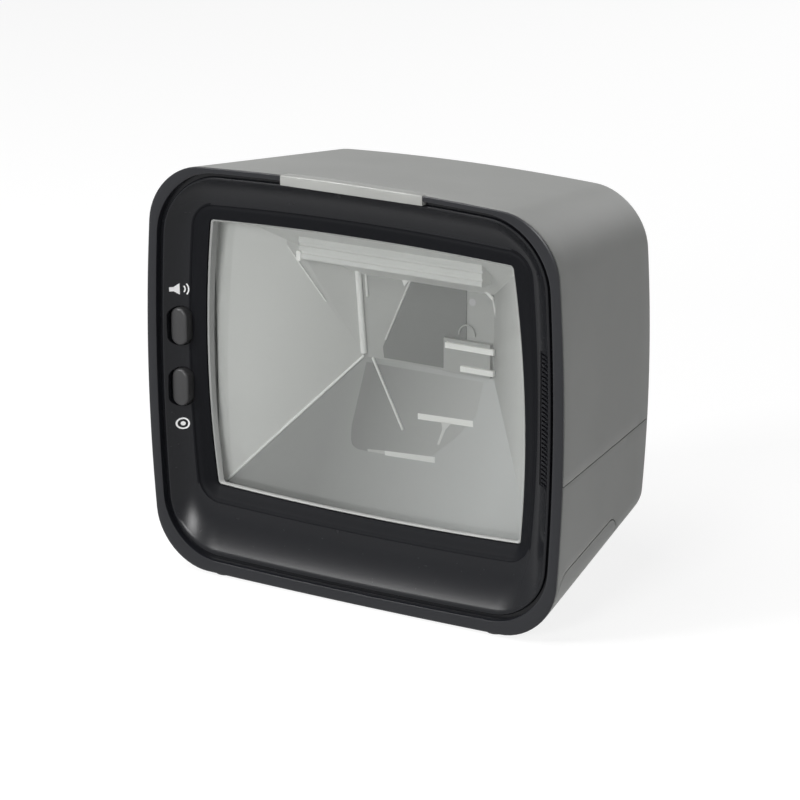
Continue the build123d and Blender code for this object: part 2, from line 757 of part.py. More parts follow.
def switch_body(z):
    """A square switch body, open in the middle for its plunger."""
    half = SWITCH_SIZE / 2
    form = block((BUTTON_X - half, BUTTON_X + half), (switch_depth(), button_board_depth()),
                 (z - half, z + half))
    return form - rod(BUTTON_X, z, (0, button_board_depth() - SEAL_THICK), PLUNGER_RADIUS + FIT)


def button_screw_places():
    """Where the switch board is screwed, as (x, z)."""
    x = sum(BUTTON_BOARD_X) / 2
    return [(x, BUTTON_BOARD_Z[0] + BOSS_RADIUS), (x, BUTTON_BOARD_Z[1] - BOSS_RADIUS)]


def button_screws():
    """Two screws through the switch board into the bezel."""
    depth = button_board_depth() + BOARD
    return [screw(x, depth, z, 3 * BOARD, FORWARD) for x, z in button_screw_places()]


def button_board():
    """The switch board behind the two buttons."""
    depths = (button_board_depth(), button_board_depth() + BOARD)
    board = block(BUTTON_BOARD_X, depths, BUTTON_BOARD_Z)
    for fastener in button_screws():
        board = board - fastener
    return board


# ------------------------------------------------------------------ speaker
def speaker_duct():
    """The foam duct from the grille's back to the speaker."""
    half = GRILLE_WIDTH / 2 - FIT
    walls = block((GRILLE_X - half, GRILLE_X + half), (BAND_DEPTH_AT, DUCT_REAR), GRILLE_Z)
    bore = block((GRILLE_X - half + DUCT_WALL, GRILLE_X + half - DUCT_WALL), (0, 2 * DUCT_REAR),
                 (GRILLE_Z[0] + DUCT_WALL, GRILLE_Z[1] - DUCT_WALL))
    return walls - bore - dish(BEZEL_WALL + GRILLE_SINK)


def speaker():
    """The flat rectangular speaker, with the magnet on its back."""
    frame = block(SPEAKER_X, (DUCT_REAR, DUCT_REAR + SPEAKER_THICK), GRILLE_Z)
    frame = fillet(frame.edges().filter_by(Axis.Y), 2)
    middle = sum(SPEAKER_X) / 2
    rear = DUCT_REAR + SPEAKER_THICK
    return frame + rod(middle, sum(GRILLE_Z) / 2, (rear, rear + BOARD), (SPEAKER_X[1] - SPEAKER_X[0]) / 3)


# ------------------------------------------------------------------ optics
def chamber(grow):
    """The chamber's four-sided space behind the glass, grown sideways by a step."""
    near = (MOUTH_DEPTH, (-MOUTH_HALF - grow, MOUTH_HALF + grow), (MOUTH_LOW - grow, MOUTH_HIGH + grow))
    far = (CHAMBER_REAR, (-REAR_HALF - grow, REAR_HALF + grow), (REAR_LOW - grow, REAR_HIGH + grow))
    return sloped_box(near, far)


def ear_places():
    """Where the chassis is screwed to the bezel, as (x, z)."""
    return [(side * EAR_X, z) for side in (-1, 1) for z in EAR_Z]


def camera_front():
    """Back face of the chassis, where the camera bracket sits."""
    return CHAMBER_REAR + CHASSIS_WALL


def optics_chassis():
    """The moulded chamber with its flange, ears and camera port."""
    grow = PLATE + CHASSIS_WALL
    rim = MOUTH_HALF + grow + FLANGE_LAP
    flange = block((-rim, rim), (MOUTH_DEPTH, FLANGE_REAR),
                   (MOUTH_LOW - grow - FLANGE_LAP, MOUTH_HIGH + grow + FLANGE_LAP))
    flange = fillet(flange.edges().filter_by(Axis.Y), FLANGE_CORNER)
    ears = []
    for x, z in ear_places():
        ears.append(rod(x, z, (MOUTH_DEPTH, FLANGE_REAR), EAR_RADIUS))
        middle = (EAR_Z[0] + EAR_Z[1]) / 2
        inner = z + EAR_RADIUS * 2 * (1 if z < middle else -1)
        ears.append(block((x - EAR_RADIUS, x + EAR_RADIUS), (MOUTH_DEPTH, FLANGE_REAR), sorted((z, inner))))
    wall = block((-REAR_HALF - grow, REAR_HALF + grow), (CHAMBER_REAR, camera_front()),
                 (REAR_LOW - grow, REAR_HIGH + grow))
    port = block(PORT_X, (MOUTH_DEPTH, DEPTH), (REAR_LOW + PORT_MARGIN, REAR_HIGH - PORT_MARGIN))
    shape = joined([chamber(grow), flange, wall] + ears) - chamber(PLATE) - port
    for fastener in chassis_screws() + bracket_screws():
        shape = shape - fastener
    return shape


def chamber_plate(across_near, across_far, heights_near, heights_far):
    """One flat plate that lines a side of the chamber."""
    return sloped_box((MOUTH_DEPTH, across_near, heights_near), (CHAMBER_REAR, across_far, heights_far))


def floor_mirror():
    """The mirror that rises from the window's foot to the rear wall."""
    return chamber_plate((-MOUTH_HALF, MOUTH_HALF), (-REAR_HALF, REAR_HALF),
                         (MOUTH_LOW - PLATE, MOUTH_LOW), (REAR_LOW - PLATE, REAR_LOW))


def top_reflector():
    """The plate that lines the chamber's ceiling."""
    return chamber_plate((-MOUTH_HALF, MOUTH_HALF), (-REAR_HALF, REAR_HALF),
                         (MOUTH_HIGH, MOUTH_HIGH + PLATE), (REAR_HIGH, REAR_HIGH + PLATE))


def side_mirror(side):
    """The plate that lines the chamber's left (-1) or right (1) side."""
    return chamber_plate(sorted((side * MOUTH_HALF, side * (MOUTH_HALF + PLATE))),
                         sorted((side * REAR_HALF, side * (REAR_HALF + PLATE))),
                         (MOUTH_LOW, MOUTH_HIGH), (REAR_LOW, REAR_HIGH))


def chassis_screws():
    """Four screws through the chassis ears into the bezel."""
    return [screw(x, FLANGE_REAR, z, FLANGE_THICK + EAR_RADIUS, FORWARD) for x, z in ear_places()]


def hanging_diffuser():
    """The clear trough that hangs from the chamber's ceiling."""
    heights = (DIFFUSER_LOW, HEIGHT)
    bar = block((-DIFFUSER_HALF, DIFFUSER_HALF), DIFFUSER_DEPTHS, heights)
    bar = fillet(bar.edges().filter_by(Axis.X).group_by(Axis.Z)[0], DIFFUSER_WALL)
    trough = block((DIFFUSER_WALL - DIFFUSER_HALF, DIFFUSER_HALF - DIFFUSER_WALL),
                   (DIFFUSER_DEPTHS[0] + DIFFUSER_WALL, DIFFUSER_DEPTHS[1] - DIFFUSER_WALL),
                   (DIFFUSER_LOW + DIFFUSER_WALL, HEIGHT))
    return (bar - trough) & chamber(0)


def diffuser_board():
    """The strip of lamps in the trough."""
    half = DIFFUSER_HALF - DIFFUSER_WALL
    return block((-half, half), (DIFFUSER_DEPTHS[0] + DIFFUSER_WALL, DIFFUSER_DEPTHS[1] - DIFFUSER_WALL),
                 (DIFFUSER_LOW + DIFFUSER_WALL + LAMP_GAP, DIFFUSER_LOW + DIFFUSER_WALL + LAMP_GAP + BOARD))


def bar_board():
    """The small board beside the port that carries the light bars."""
    return block(BAR_BOARD_X, (CHAMBER_REAR - BOARD, CHAMBER_REAR), BAR_BOARD_Z)


def light_bar(left, height):
    """One bright bar on the front of its board."""
    front = CHAMBER_REAR - BOARD - BAR_THICK
    return block((left, BAR_RIGHT), (front, front + BAR_THICK),
                 (height - BAR_HEIGHT / 2, height + BAR_HEIGHT / 2))


# ------------------------------------------------------------------ camera
def camera_board_depth():
    """Front of the camera board."""
    return camera_front() + BARREL_LENGTH


def camera_screw_xs():
    """Where the camera's two posts stand."""
    return [CAMERA_X + side * CAMERA_POST_X for side in (-1, 1)]


def camera_bracket():
    """The plate behind the port, with two posts for the camera board."""
    rear = camera_front() + BOARD
    grow = 2 * CAMERA_POST_RADIUS
    plate = block((PORT_X[0] - grow, PORT_X[1] + grow), (camera_front(), rear), (REAR_LOW, REAR_HIGH))
    posts = [rod(x, CAMERA_Z, (rear, camera_board_depth()), CAMERA_POST_RADIUS) for x in camera_screw_xs()]
    shape = joined([plate] + posts) - rod(CAMERA_X, CAMERA_Z, (0, DEPTH), BARREL_RADIUS + FIT / 3)
    for fastener in camera_screws() + bracket_screws():
        shape = shape - fastener
    return shape


def bracket_screws():
    """Two screws that hold the bracket to the chassis, driven from behind."""
    xs = (PORT_X[0] - CAMERA_POST_RADIUS, PORT_X[1] + CAMERA_POST_RADIUS)
    length = BOARD + CHASSIS_WALL
    return [screw(x, camera_front() + BOARD, REAR_HIGH - CAMERA_POST_RADIUS - PORT_MARGIN, length, FORWARD)
            for x in xs]


def camera_screws():
    """Two screws that hold the camera board to its posts."""
    depth = camera_board_depth() + BOARD
    return [screw(x, depth, CAMERA_Z, 3 * BOARD, FORWARD) for x in camera_screw_xs()]


def camera_barrel():
    """The lens barrel, with a ribbed outside and a bore for the lens."""
    depths = (CHAMBER_REAR + PORT_MARGIN, camera_board_depth())
    shape = rod(CAMERA_X, CAMERA_Z, depths, BARREL_RADIUS)
    shape = shape - rod(CAMERA_X, CAMERA_Z, (0, DEPTH), LENS_RADIUS)
    stop = (depths[0] + LENS_THICK + EDGE_FLAT, depths[0] + LENS_THICK + EDGE_FLAT + PLATE)
    ring = rod(CAMERA_X, CAMERA_Z, stop, LENS_RADIUS) - rod(CAMERA_X, CAMERA_Z, stop, LENS_RADIUS / 2)
    return shape + ring


def camera_lens():
    """The front lens, domed towards the window."""
    front = CHAMBER_REAR + PORT_MARGIN + EDGE_FLAT
    disc = rod(CAMERA_X, CAMERA_Z, (front, front + LENS_THICK), LENS_RADIUS)
    return fillet(disc.edges().sort_by(Axis.Y)[0], LENS_THICK / 2)


def camera_board():
    """The camera board with its sensor inside the barrel's bore."""
    front = camera_board_depth()
    half = CAMERA_BOARD_HALF
    board = block((CAMERA_X - half, CAMERA_X + half), (front, front + BOARD),
                  (CAMERA_Z - CAMERA_BOARD_HIGH, CAMERA_Z + CAMERA_BOARD_HIGH))
    chip = LENS_RADIUS / 2
    board = board + block((CAMERA_X - chip, CAMERA_X + chip), (front - BOARD, front),
                          (CAMERA_Z - chip, CAMERA_Z + chip))
    for fastener in camera_screws():
        board = board - fastener
    return board


# ------------------------------------------------------------------ boards and sockets
def main_board_depth():
    """Front of the main board, clear of the camera board's screws and of its own components."""
    return camera_board_depth() + BOARD + SCREW_HEAD + HEADER_THICK + MAIN_BOARD_CLEARANCE


def main_screws():
    """Four screws through the main board into the rear-wall bosses."""
    return [screw(side * MAIN_BOSS_X, main_board_depth(), z, 4 * BOARD, BACKWARD)
            for side in (-1, 1) for z in MAIN_BOSS_Z]


def main_board():
    """The upright main board behind the camera."""
    board = block((-MAIN_BOARD_HALF, MAIN_BOARD_HALF), (main_board_depth(), main_board_depth() + BOARD),
                  MAIN_BOARD_Z)
    board = chamfer(board.edges().filter_by(Axis.Y), 2 * BOARD)
    for fastener in main_screws():
        board = board - fastener
    return board


def on_main_board(x, z, width, height, thick):
    """A block that stands on the front of the main board."""
    return block((x - width / 2, x + width / 2), (main_board_depth() - thick, main_board_depth()),
                 (z - height / 2, z + height / 2))


def board_shield():
    """The pressed-metal lid over the processor."""
    width, height = SHIELD_SIZE
    lid = on_main_board(*SHIELD_PLACE, width, height, HEADER_THICK)
    hollow = on_main_board(*SHIELD_PLACE, width - BOARD, height - BOARD, HEADER_THICK)
    return lid - Pos(0, EDGE_FLAT, 0) * hollow


def board_chips():
    """The larger components on the main board."""
    return group(on_main_board(*chip) for chip in CHIPS)


def floor_height():
    """Top of the keel's floor."""
    return KEEL_LOW + WALL


def interface_top():
    """Top of the interface board."""
    return floor_height() + INTERFACE_STANDOFF + BOARD


def interface_front():
    """Front edge of the interface board, ahead of the ribbon's connector."""
    return main_board_depth() - INTERFACE_LEAD


def socket_front():
    """Front of the sockets, behind the ribbon's connector."""
    return max(KEEL_REAR - SOCKET_LENGTH, main_board_depth() + RIBBON_THICK + SOCKET_CLEARANCE)


def interface_screw_places():
    """Where the interface board is screwed, as (x, depth)."""
    inner = INTERFACE_HALF - BOSS_RADIUS - EDGE_FLAT
    return [(side * inner, interface_front() + BOSS_RADIUS + EDGE_FLAT) for side in (-1, 1)]


def interface_screws():
    """Two screws that hold the interface board down."""
    return [screw(x, depth, interface_top(), 2 * BOARD, DOWN) for x, depth in interface_screw_places()]


def interface_board():
    """The board in the keel that carries the sockets."""
    board = block((-INTERFACE_HALF, INTERFACE_HALF), (interface_front(), KEEL_REAR - WALL - FIT),
                  (interface_top() - BOARD, interface_top()))
    board = chamfer(board.edges().filter_by(Axis.Z), 2 * BOARD)
    for fastener in interface_screws():
        board = board - fastener
    return board


def socket_form(x, width, height, grow):
    """The outside of a socket, grown by a gap."""
    half = width / 2 + grow
    rear = KEEL_REAR + SOCKET_PROUD + grow
    return block((x - half, x + half), (socket_front(), rear),
                 (interface_top() - grow, interface_top() + height + grow))


def modular_socket(x):
    """A modular socket, open to the rear, with its latch slot."""
    half = SOCKET_WIDTH / 2 - SOCKET_WALL
    low = interface_top() + SOCKET_WALL
    depths = (socket_front() + 2 * SOCKET_WALL, 2 * KEEL_REAR)
    shape = socket_form(x, SOCKET_WIDTH, SOCKET_HEIGHT, 0)
    shape = shape - block((x - half, x + half), depths, (low, low + SOCKET_HEIGHT - 3 * SOCKET_WALL))
    latch = LATCH_WIDTH / 2
    return shape - block((x - latch, x + latch), depths, (low, low + SOCKET_HEIGHT - 2 * SOCKET_WALL))


def power_socket():
    """The rectangular power inlet, open to the rear."""
    half = POWER_WIDTH / 2 - SOCKET_WALL
    heights = (interface_top() + SOCKET_WALL, interface_top() + POWER_HEIGHT - SOCKET_WALL)
    depths = (socket_front() + 2 * SOCKET_WALL, 2 * KEEL_REAR)
    return socket_form(POWER_X, POWER_WIDTH, POWER_HEIGHT, 0) - block((POWER_X - half, POWER_X + half),
                                                                      depths, heights)


def socket_apertures():
    """The holes that the sockets need in the keel's rear wall."""
    holes = [socket_form(x, SOCKET_WIDTH, SOCKET_HEIGHT, FIT) for x in SOCKET_XS.values()]
    return holes + [socket_form(POWER_X, POWER_WIDTH, POWER_HEIGHT, FIT)]


def link_ribbon():
    """The flat ribbon between the two boards."""
    heights = (interface_top() + HEADER_THICK / 2, MAIN_BOARD_Z[0] + 2 * HEADER_THICK)
    rear = main_board_depth()
    return block((-RIBBON_HALF, RIBBON_HALF), (rear - RIBBON_THICK, rear), heights)


def link_headers():
    """The two connectors that grip the ribbon's ends."""
    half = RIBBON_HALF + PLATE
    depths = (main_board_depth() - HEADER_THICK, main_board_depth() + RIBBON_THICK)
    lower = block((-half, half), depths, (interface_top(), interface_top() + HEADER_THICK))
    upper = block((-half, half), (depths[0], main_board_depth()),
                  (MAIN_BOARD_Z[0] + HEADER_THICK, MAIN_BOARD_Z[0] + 2 * HEADER_THICK))
    return group([lower - link_ribbon(), upper - link_ribbon()])


def mount_inserts():
    """The four threaded brass inserts in the keel."""
    inserts = []
    for x, depth in insert_places():
        sleeve = post(x, depth, (KEEL_LOW, KEEL_LOW + INSERT_LENGTH), INSERT_RADIUS)
        inserts.append(sleeve - post(x, depth, (0, HEIGHT), INSERT_BORE))
    return group(inserts)


# ------------------------------------------------------------------ remaining screws
def shell_screws():
    """The two screws that draw the shells together, driven up from below the seam."""
    head = SEAM_HEIGHT - SHELL_BOSS_DROP
    length = SHELL_BOSS_DROP + SHELL_BOSS_RISE / 2
    return [screw(side * SHELL_SCREW_X, shell_screw_depth(), head, length, UP) for side in (-1, 1)]


def base_screws():
    """The two screws through the belly into the base cover's tabs."""
    depth = SKIRT_REAR + BASE_SCREW_BEHIND
    head = body_outline(depth).low + BASE_SCREW_SINK
    length = WALL - BASE_SCREW_SINK + TAB_THICK
    return [screw(side * BASE_SCREW_X, depth, head, length, UP) for side in (-1, 1)]


def nodes():
    """Every node's name and shape."""
    made = {
        "housing_upper": housing_upper(),
        "housing_lower": housing_lower(),
        "base_cover": base_cover(),
        "front_bezel": front_bezel(),
        "speaker_grille": speaker_grille(),
        "window_seal": window_seal(),
        "window_glass": window_glass(),
        "indicator_lens": indicator_lens(),
        "indicator_board": indicator_board(),
        "indicator_screws": group(indicator_screws()),
        "button_board": button_board(),
        "button_screws": group(button_screws()),
        "speaker_duct": speaker_duct(),
        "speaker": speaker(),
        "optics_chassis": optics_chassis(),
        "chassis_screws": group(chassis_screws()),
        "floor_mirror": floor_mirror(),
        "left_mirror": side_mirror(-1),
        "right_mirror": side_mirror(1),
        "top_reflector": top_reflector(),
        "hanging_diffuser": hanging_diffuser(),
        "diffuser_board": diffuser_board(),
        "bar_board": bar_board(),
        "camera_bracket": camera_bracket(),
        "bracket_screws": group(bracket_screws()),
        "camera_barrel": camera_barrel(),
        "camera_lens": camera_lens(),
        "camera_board": camera_board(),
        "camera_screws": group(camera_screws()),
        "main_board": main_board(),
        "main_screws": group(main_screws()),
        "board_shield": board_shield(),
        "board_chips": board_chips(),
        "interface_board": interface_board(),
        "interface_screws": group(interface_screws()),
        "power_socket": power_socket(),
        "link_ribbon": link_ribbon(),
        "link_headers": link_headers(),
        "mount_inserts": mount_inserts(),
        "shell_screws": group(shell_screws()),
        "base_screws": group(base_screws()),
        "front_feet": group(rounded_foot(form) for form in front_feet_forms()),
        "rear_feet": group(rounded_foot(form) for form in rear_feet_forms()),
    }
    for name, z in BUTTON_ZS.items():
        made[name + "_button"] = button_cap(z)
        made[name + "_plunger"] = plunger(z)
        made[name + "_switch"] = switch_body(z)
    for name, (left, height) in BARS.items():
        made[name + "_light_bar"] = light_bar(left, height)
    for name, x in SOCKET_XS.items():
        made[name + "_socket"] = modular_socket(x)
    return made


for node, shape in nodes().items():
    export_step(shape, f"parts/{node}.step")
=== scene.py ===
"""Upright presentation scanner: the looks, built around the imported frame."""

import math
from dataclasses import astuple, dataclass, replace

import bmesh
import bpy
from bpy.props import FloatProperty, FloatVectorProperty, PointerProperty
from mathutils import Matrix, Vector
from mathutils.bvhtree import BVHTree


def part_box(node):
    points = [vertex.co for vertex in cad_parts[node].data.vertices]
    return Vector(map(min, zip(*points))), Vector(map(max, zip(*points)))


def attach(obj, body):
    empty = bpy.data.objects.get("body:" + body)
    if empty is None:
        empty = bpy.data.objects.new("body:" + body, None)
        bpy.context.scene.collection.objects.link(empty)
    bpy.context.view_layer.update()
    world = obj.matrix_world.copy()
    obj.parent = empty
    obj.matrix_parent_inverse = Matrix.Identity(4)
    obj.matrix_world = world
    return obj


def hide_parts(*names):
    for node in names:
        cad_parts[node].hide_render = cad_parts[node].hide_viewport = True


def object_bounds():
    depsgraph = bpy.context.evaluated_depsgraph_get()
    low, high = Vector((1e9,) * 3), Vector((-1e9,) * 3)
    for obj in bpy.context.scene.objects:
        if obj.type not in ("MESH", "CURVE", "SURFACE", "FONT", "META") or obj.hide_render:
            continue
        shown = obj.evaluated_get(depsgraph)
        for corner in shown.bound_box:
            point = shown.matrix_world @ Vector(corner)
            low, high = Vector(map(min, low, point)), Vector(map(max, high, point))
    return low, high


bl_info = {
    "name": "Presentation Scanner",
    "version": (1, 0, 0),
    "blender": (4, 5, 0),
    "location": "3D View > Sidebar > Scanner",
    "description": "Builds an upright countertop code reader piece by piece",
    "category": "Add Mesh",
}

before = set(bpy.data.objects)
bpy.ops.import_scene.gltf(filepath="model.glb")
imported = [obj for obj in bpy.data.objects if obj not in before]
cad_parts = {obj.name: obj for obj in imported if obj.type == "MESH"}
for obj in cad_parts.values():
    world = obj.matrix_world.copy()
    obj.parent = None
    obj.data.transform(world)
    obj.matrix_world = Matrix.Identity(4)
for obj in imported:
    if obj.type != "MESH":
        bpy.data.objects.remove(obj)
CAD_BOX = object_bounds()
LOW, HIGH = (Vector(corner) for corner in CAD_BOX)
BODY = "scanner"
MM = 0.001

# Steps round each corner and along each side of an outline
CORNER_STEPS = 14
SIDE_STEPS = 16
# The angle past which an edge is drawn sharp
SHARP = math.radians(32)
# Clearance of pieces that fit together, and the width to which cut edges are eased
FIT = 0.15 * MM
EASE = 0.18 * MM
# A reach that takes a cutter right through the object
WIDE = 2 * HIGH.x


def size(name, value, text):
    """A length that a user may change, given in millimetres and kept in metres."""
    return FloatProperty(name=name, description=text, default=value * MM, unit="LENGTH", precision=5)


def bearing(name, degrees, text):
    """An angle that a user may change, given in degrees."""
    return FloatProperty(name=name, description=text, default=math.radians(degrees), subtype="ANGLE")


def colour(name, value, text):
    """A colour that a user may change."""
    return FloatVectorProperty(name=name, description=text, default=value, size=3, min=0, max=1,
                               subtype="COLOR")


# ---------------------------------------------------------------- settings
class SCANNER_PG_housing(bpy.types.PropertyGroup):
    """Sizes of the grey housing."""

    wall: size("Wall", 2.4, "Wall of the shells")
    lip: size("Lip", 1.1, "Thickness of the shell round the bezel's rim")
    start: size("Start", 1.25, "Depth at which the shells begin behind the bezel's bead")
    front_height: size("Front height", 0.55, "Height of the front's lowest edge above the counter")
    rim_depth: size("Rear rim", 79.0, "Depth at which the taper ends")
    narrowing: size("Narrowing", 10.5, "How far each side draws in towards the rear")
    top_drop: size("Top drop", 9.3, "How far the top comes down towards the rear")
    low_rise: size("Belly rise", 18.2, "How far the belly comes up towards the rear")
    rear_round: size("Rear rounding", 5.0, "Radius of the rear edge")
    seam: size("Seam height", 52.5, "Height of the seam between the shells")
    seam_gap: size("Seam gap", 0.3, "Gap between neighbouring shells")
    skirt_top: size("Skirt top", 27.4, "Height of the base cover's skirt at its rear")
    skirt_slope: size("Skirt slope", 5.4, "How far the skirt comes down towards the front")
    skirt_rear: size("Skirt rear", 52.0, "Depth at which the skirt ends")


class SCANNER_PG_bezel(bpy.types.PropertyGroup):
    """Sizes of the dished bezel."""

    bead_rise: size("Bead", 0.7, "How far the bead round the rim falls at its outer edge")
    groove_depth: size("Groove place", 1.2, "Depth of the face at the groove")
    groove_width: size("Groove width", 1.4, "Width of the groove round the face")
    groove_cut: size("Groove cut", 1.3, "How deep the groove is cut")
    step_depth: size("Step place", 6.2, "Depth of the inner step")
    opening_depth: size("Opening place", 7.9, "Depth of the window opening at half its height")
    back: size("Back", 10.8, "Depth of the bezel's back round the window")
    seal_lip: size("Seal lip", 0.75, "Width of the light frame inside the opening")
    opening_lean: FloatProperty(name="Opening lean", description="Depth lost for each unit of height",
                                default=0.0364)
    opening_taper: FloatProperty(name="Opening taper", default=0.255,
                                 description="Share of width lost over a metre of height")


class SCANNER_PG_finish(bpy.types.PropertyGroup):
    """Colours of the finishes."""

    housing: colour("Housing", (0.33, 0.335, 0.325), "Matt grey shells")
    bezel: colour("Bezel", (0.008, 0.0085, 0.0105), "Gloss black bezel")
    keys: colour("Keys", (0.036, 0.036, 0.037), "Dark grey buttons")
    seal: colour("Seal", (0.38, 0.385, 0.375), "Light frame inside the window")
    chamber: colour("Chamber", (0.74, 0.745, 0.73), "Pale walls of the optics chamber")
    rear_wall: colour("Rear wall", (0.42, 0.425, 0.415), "Grey rear wall of the chamber")
    rail: colour("Rail", (0.9, 0.905, 0.89), "Pale rails in the chamber's corners")
    light_bar: colour("Light bar", (0.34, 0.345, 0.33), "Milky light pipes")
    ink: colour("Ink", (0.8, 0.8, 0.8), "Printed signs")


class SCANNER_PG_camera(bpy.types.PropertyGroup):
    """Where the camera stands."""

    azimuth: bearing("Azimuth", 31.4725, "Turn to the object's right")
    elevation: bearing("Elevation", 17.5836, "Angle above the counter")
    roll: bearing("Roll", -0.2166, "Turn about the line of sight")
    distance: size("Distance", 1047.554, "Distance to the point looked at")
    aim: FloatVectorProperty(name="Aim", description="Point looked at", size=3, subtype="TRANSLATION",
                             default=(0.0155752, -0.0429994, 0.0690969))
    lens: FloatProperty(name="Lens", description="Focal length in millimetres", default=152.929, min=1)


def settings(group):
    """One of the scene's groups of settings."""
    return getattr(bpy.context.scene, "scanner_" + group)


# ---------------------------------------------------------------- outlines
@dataclass
class Outline:
    """A four-sided outline seen from the front, with bulging sides and round corners, in metres."""

    half_width: float
    low: float
    high: float
    side_bow: float
    top_bow: float
    low_bow: float
    top_corner: float
    low_corner: float

    def inset(self, step):
        """The same outline drawn in by a step all round."""
        least = 0.6 * MM
        return replace(self, half_width=self.half_width - step, low=self.low + step, high=self.high - step,
                       top_corner=max(self.top_corner - step, least),
                       low_corner=max(self.low_corner - step, least))

    def toward(self, other, share):
        """The outline a share of the way to another one."""
        return Outline(*[a + (b - a) * share for a, b in zip(astuple(self), astuple(other))])

    def corners(self):
        """Centre and radius of each corner of the straight-sided outline, from the lower right."""
        half = self.half_width - self.side_bow
        low, high = self.low + self.low_bow, self.high - self.top_bow
        return [
            (half - self.low_corner, low + self.low_corner, self.low_corner),
            (half - self.top_corner, high - self.top_corner, self.top_corner),
            (self.top_corner - half, high - self.top_corner, self.top_corner),
            (self.low_corner - half, low + self.low_corner, self.low_corner),
        ]

    def ring(self, depth, lean=0.0, taper=0.0):
        """Points round the outline at a depth, anticlockwise from the front; its top may lean forward."""
        points = []
        corners = self.corners()
        for index, (x, z, radius) in enumerate(corners):
            after_x, after_z, after_radius = corners[(index + 1) % 4]
            start = math.radians(90 * index - 90)
            end = start + math.pi / 2
            for step in range(CORNER_STEPS):
                angle = start + (end - start) * step / CORNER_STEPS
                points.append((x + radius * math.cos(angle), z + radius * math.sin(angle)))
            first = (x + radius * math.cos(end), z + radius * math.sin(end))
            last = (after_x + after_radius * math.cos(end), after_z + after_radius * math.sin(end))
            for step in range(SIDE_STEPS):
                share = step / SIDE_STEPS
                points.append(tuple(a + (b - a) * share for a, b in zip(first, last)))
        half = self.half_width - self.side_bow
        low, high = self.low + self.low_bow, self.high - self.top_bow
        middle, reach = (low + high) / 2, (high - low) / 2
        ring = []
        for x, z in points:
            u, v = x / half, (z - middle) / reach
            bow = self.top_bow if v > 0 else self.low_bow
            ring.append(Vector(((x + u * self.side_bow * (1 - v * v)) * (1 - taper * (z - middle)),
                                y_at(depth - lean * (z - middle)), z + v * bow * (1 - u * u))))
        return ring


def mm_outline(*values):
    """An outline from sizes in millimetres."""
    return Outline(*[value * MM for value in values])


def y_at(depth):
    """Y of a depth behind the front."""
    return LOW.y + depth


# The housing's bulges (sides, top, belly) and corners (top, low) at its front and at its rear rim
FRONT_FORM = (3.6 * MM, 2.7 * MM, 0.8 * MM, 18 * MM, 18 * MM)
REAR_FORM = (2.6 * MM, 2.2 * MM, 0, 17.5 * MM, 9.5 * MM)
# How much higher the bezel's lowest edge lies in the lip
BEZEL_RISE = 0.3 * MM


def body_outline(depth):
    """The housing's outer outline at a depth."""
    housing = settings("housing")
    front = Outline(HIGH.x, housing.front_height, HIGH.z, *FRONT_FORM)
    rear = Outline(HIGH.x - housing.narrowing, housing.front_height + housing.low_rise,
                   HIGH.z - housing.top_drop, *REAR_FORM)
    return front.toward(rear, depth / housing.rim_depth)


def bezel_outline(depth, gap):
    """The bezel's outer outline at a depth, with a gap to its pocket."""
    edge = body_outline(depth).inset(settings("housing").lip + gap)
    return replace(edge, low=edge.low + BEZEL_RISE)


# ---------------------------------------------------------------- mesh helpers
def vertices(items):
    """The vertices among a bmesh operator's results."""
    return [item for item in items if isinstance(item, bmesh.types.BMVert)]


def skin(rings, closed):
    """A bmesh skin through rings of points; it is capped at both ends or closed on itself."""
    bm = bmesh.new()
    order = bm.verts.layers.int.new("order")
    made = bmesh.ops.create_circle(bm, segments=len(rings[0]), radius=1.0)["verts"]
    for index, vert in enumerate(made):
        vert[order] = index
        vert.co = rings[0][index]
    edges = list(bm.edges)
    if not closed:
        bmesh.ops.edgeloop_fill(bm, edges=edges)
    for ring in rings[1:]:
        grown = bmesh.ops.extrude_edge_only(bm, edges=edges)["geom"]
        fresh = set(vertices(grown))
        edges = [item for item in grown
                 if isinstance(item, bmesh.types.BMEdge) and set(item.verts) <= fresh]
        for vert in fresh:
            vert.co = ring[vert[order]]
    if not closed:
        bmesh.ops.edgeloop_fill(bm, edges=edges)
    bmesh.ops.remove_doubles(bm, verts=bm.verts, dist=1e-6)
    bmesh.ops.recalc_face_normals(bm, faces=bm.faces)
    return bm


def loose(name, bm):
    """A bmesh as an object that isn't a finished piece yet."""
    mesh = bpy.data.meshes.new(name)
    bm.to_mesh(mesh)
    bm.free()
    piece = bpy.data.objects.new(name, mesh)
    bpy.context.scene.collection.objects.link(piece)
    return piece


def add_part(bm, part):
    """Adds one bmesh to another, and uses it up."""
    mesh = bpy.data.meshes.new("part")
    part.to_mesh(mesh)
    part.free()
    bm.from_mesh(mesh)
    bpy.data.meshes.remove(mesh)


def paint(piece, finish):
    """Gives an object one finish."""
    piece.data.materials.clear()
    piece.data.materials.append(FINISHES[finish])


def dress(piece, finish, nodes=(), body=BODY):
    """Gives an object its finish, smooth shading, body and replaced nodes."""
    paint(piece, finish)
    mesh = piece.data
    mesh.polygons.foreach_set("use_smooth", [True] * len(mesh.polygons))
    mesh.set_sharp_from_angle(angle=SHARP)
    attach(piece, body)
    if nodes:
        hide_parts(*nodes)


def finish_piece(name, bm, finish, nodes=()):
    """Turns a bmesh into a finished piece of the scanner's body."""
    dress(loose(name, bm), finish, nodes)


def bake_modifiers(piece):
    """Turns a piece's modifiers into mesh."""
    graph = bpy.context.evaluated_depsgraph_get()
    mesh = bpy.data.meshes.new_from_object(piece.evaluated_get(graph), depsgraph=graph)
    old = piece.data
    piece.modifiers.clear()
    piece.data = mesh
    bpy.data.meshes.remove(old)


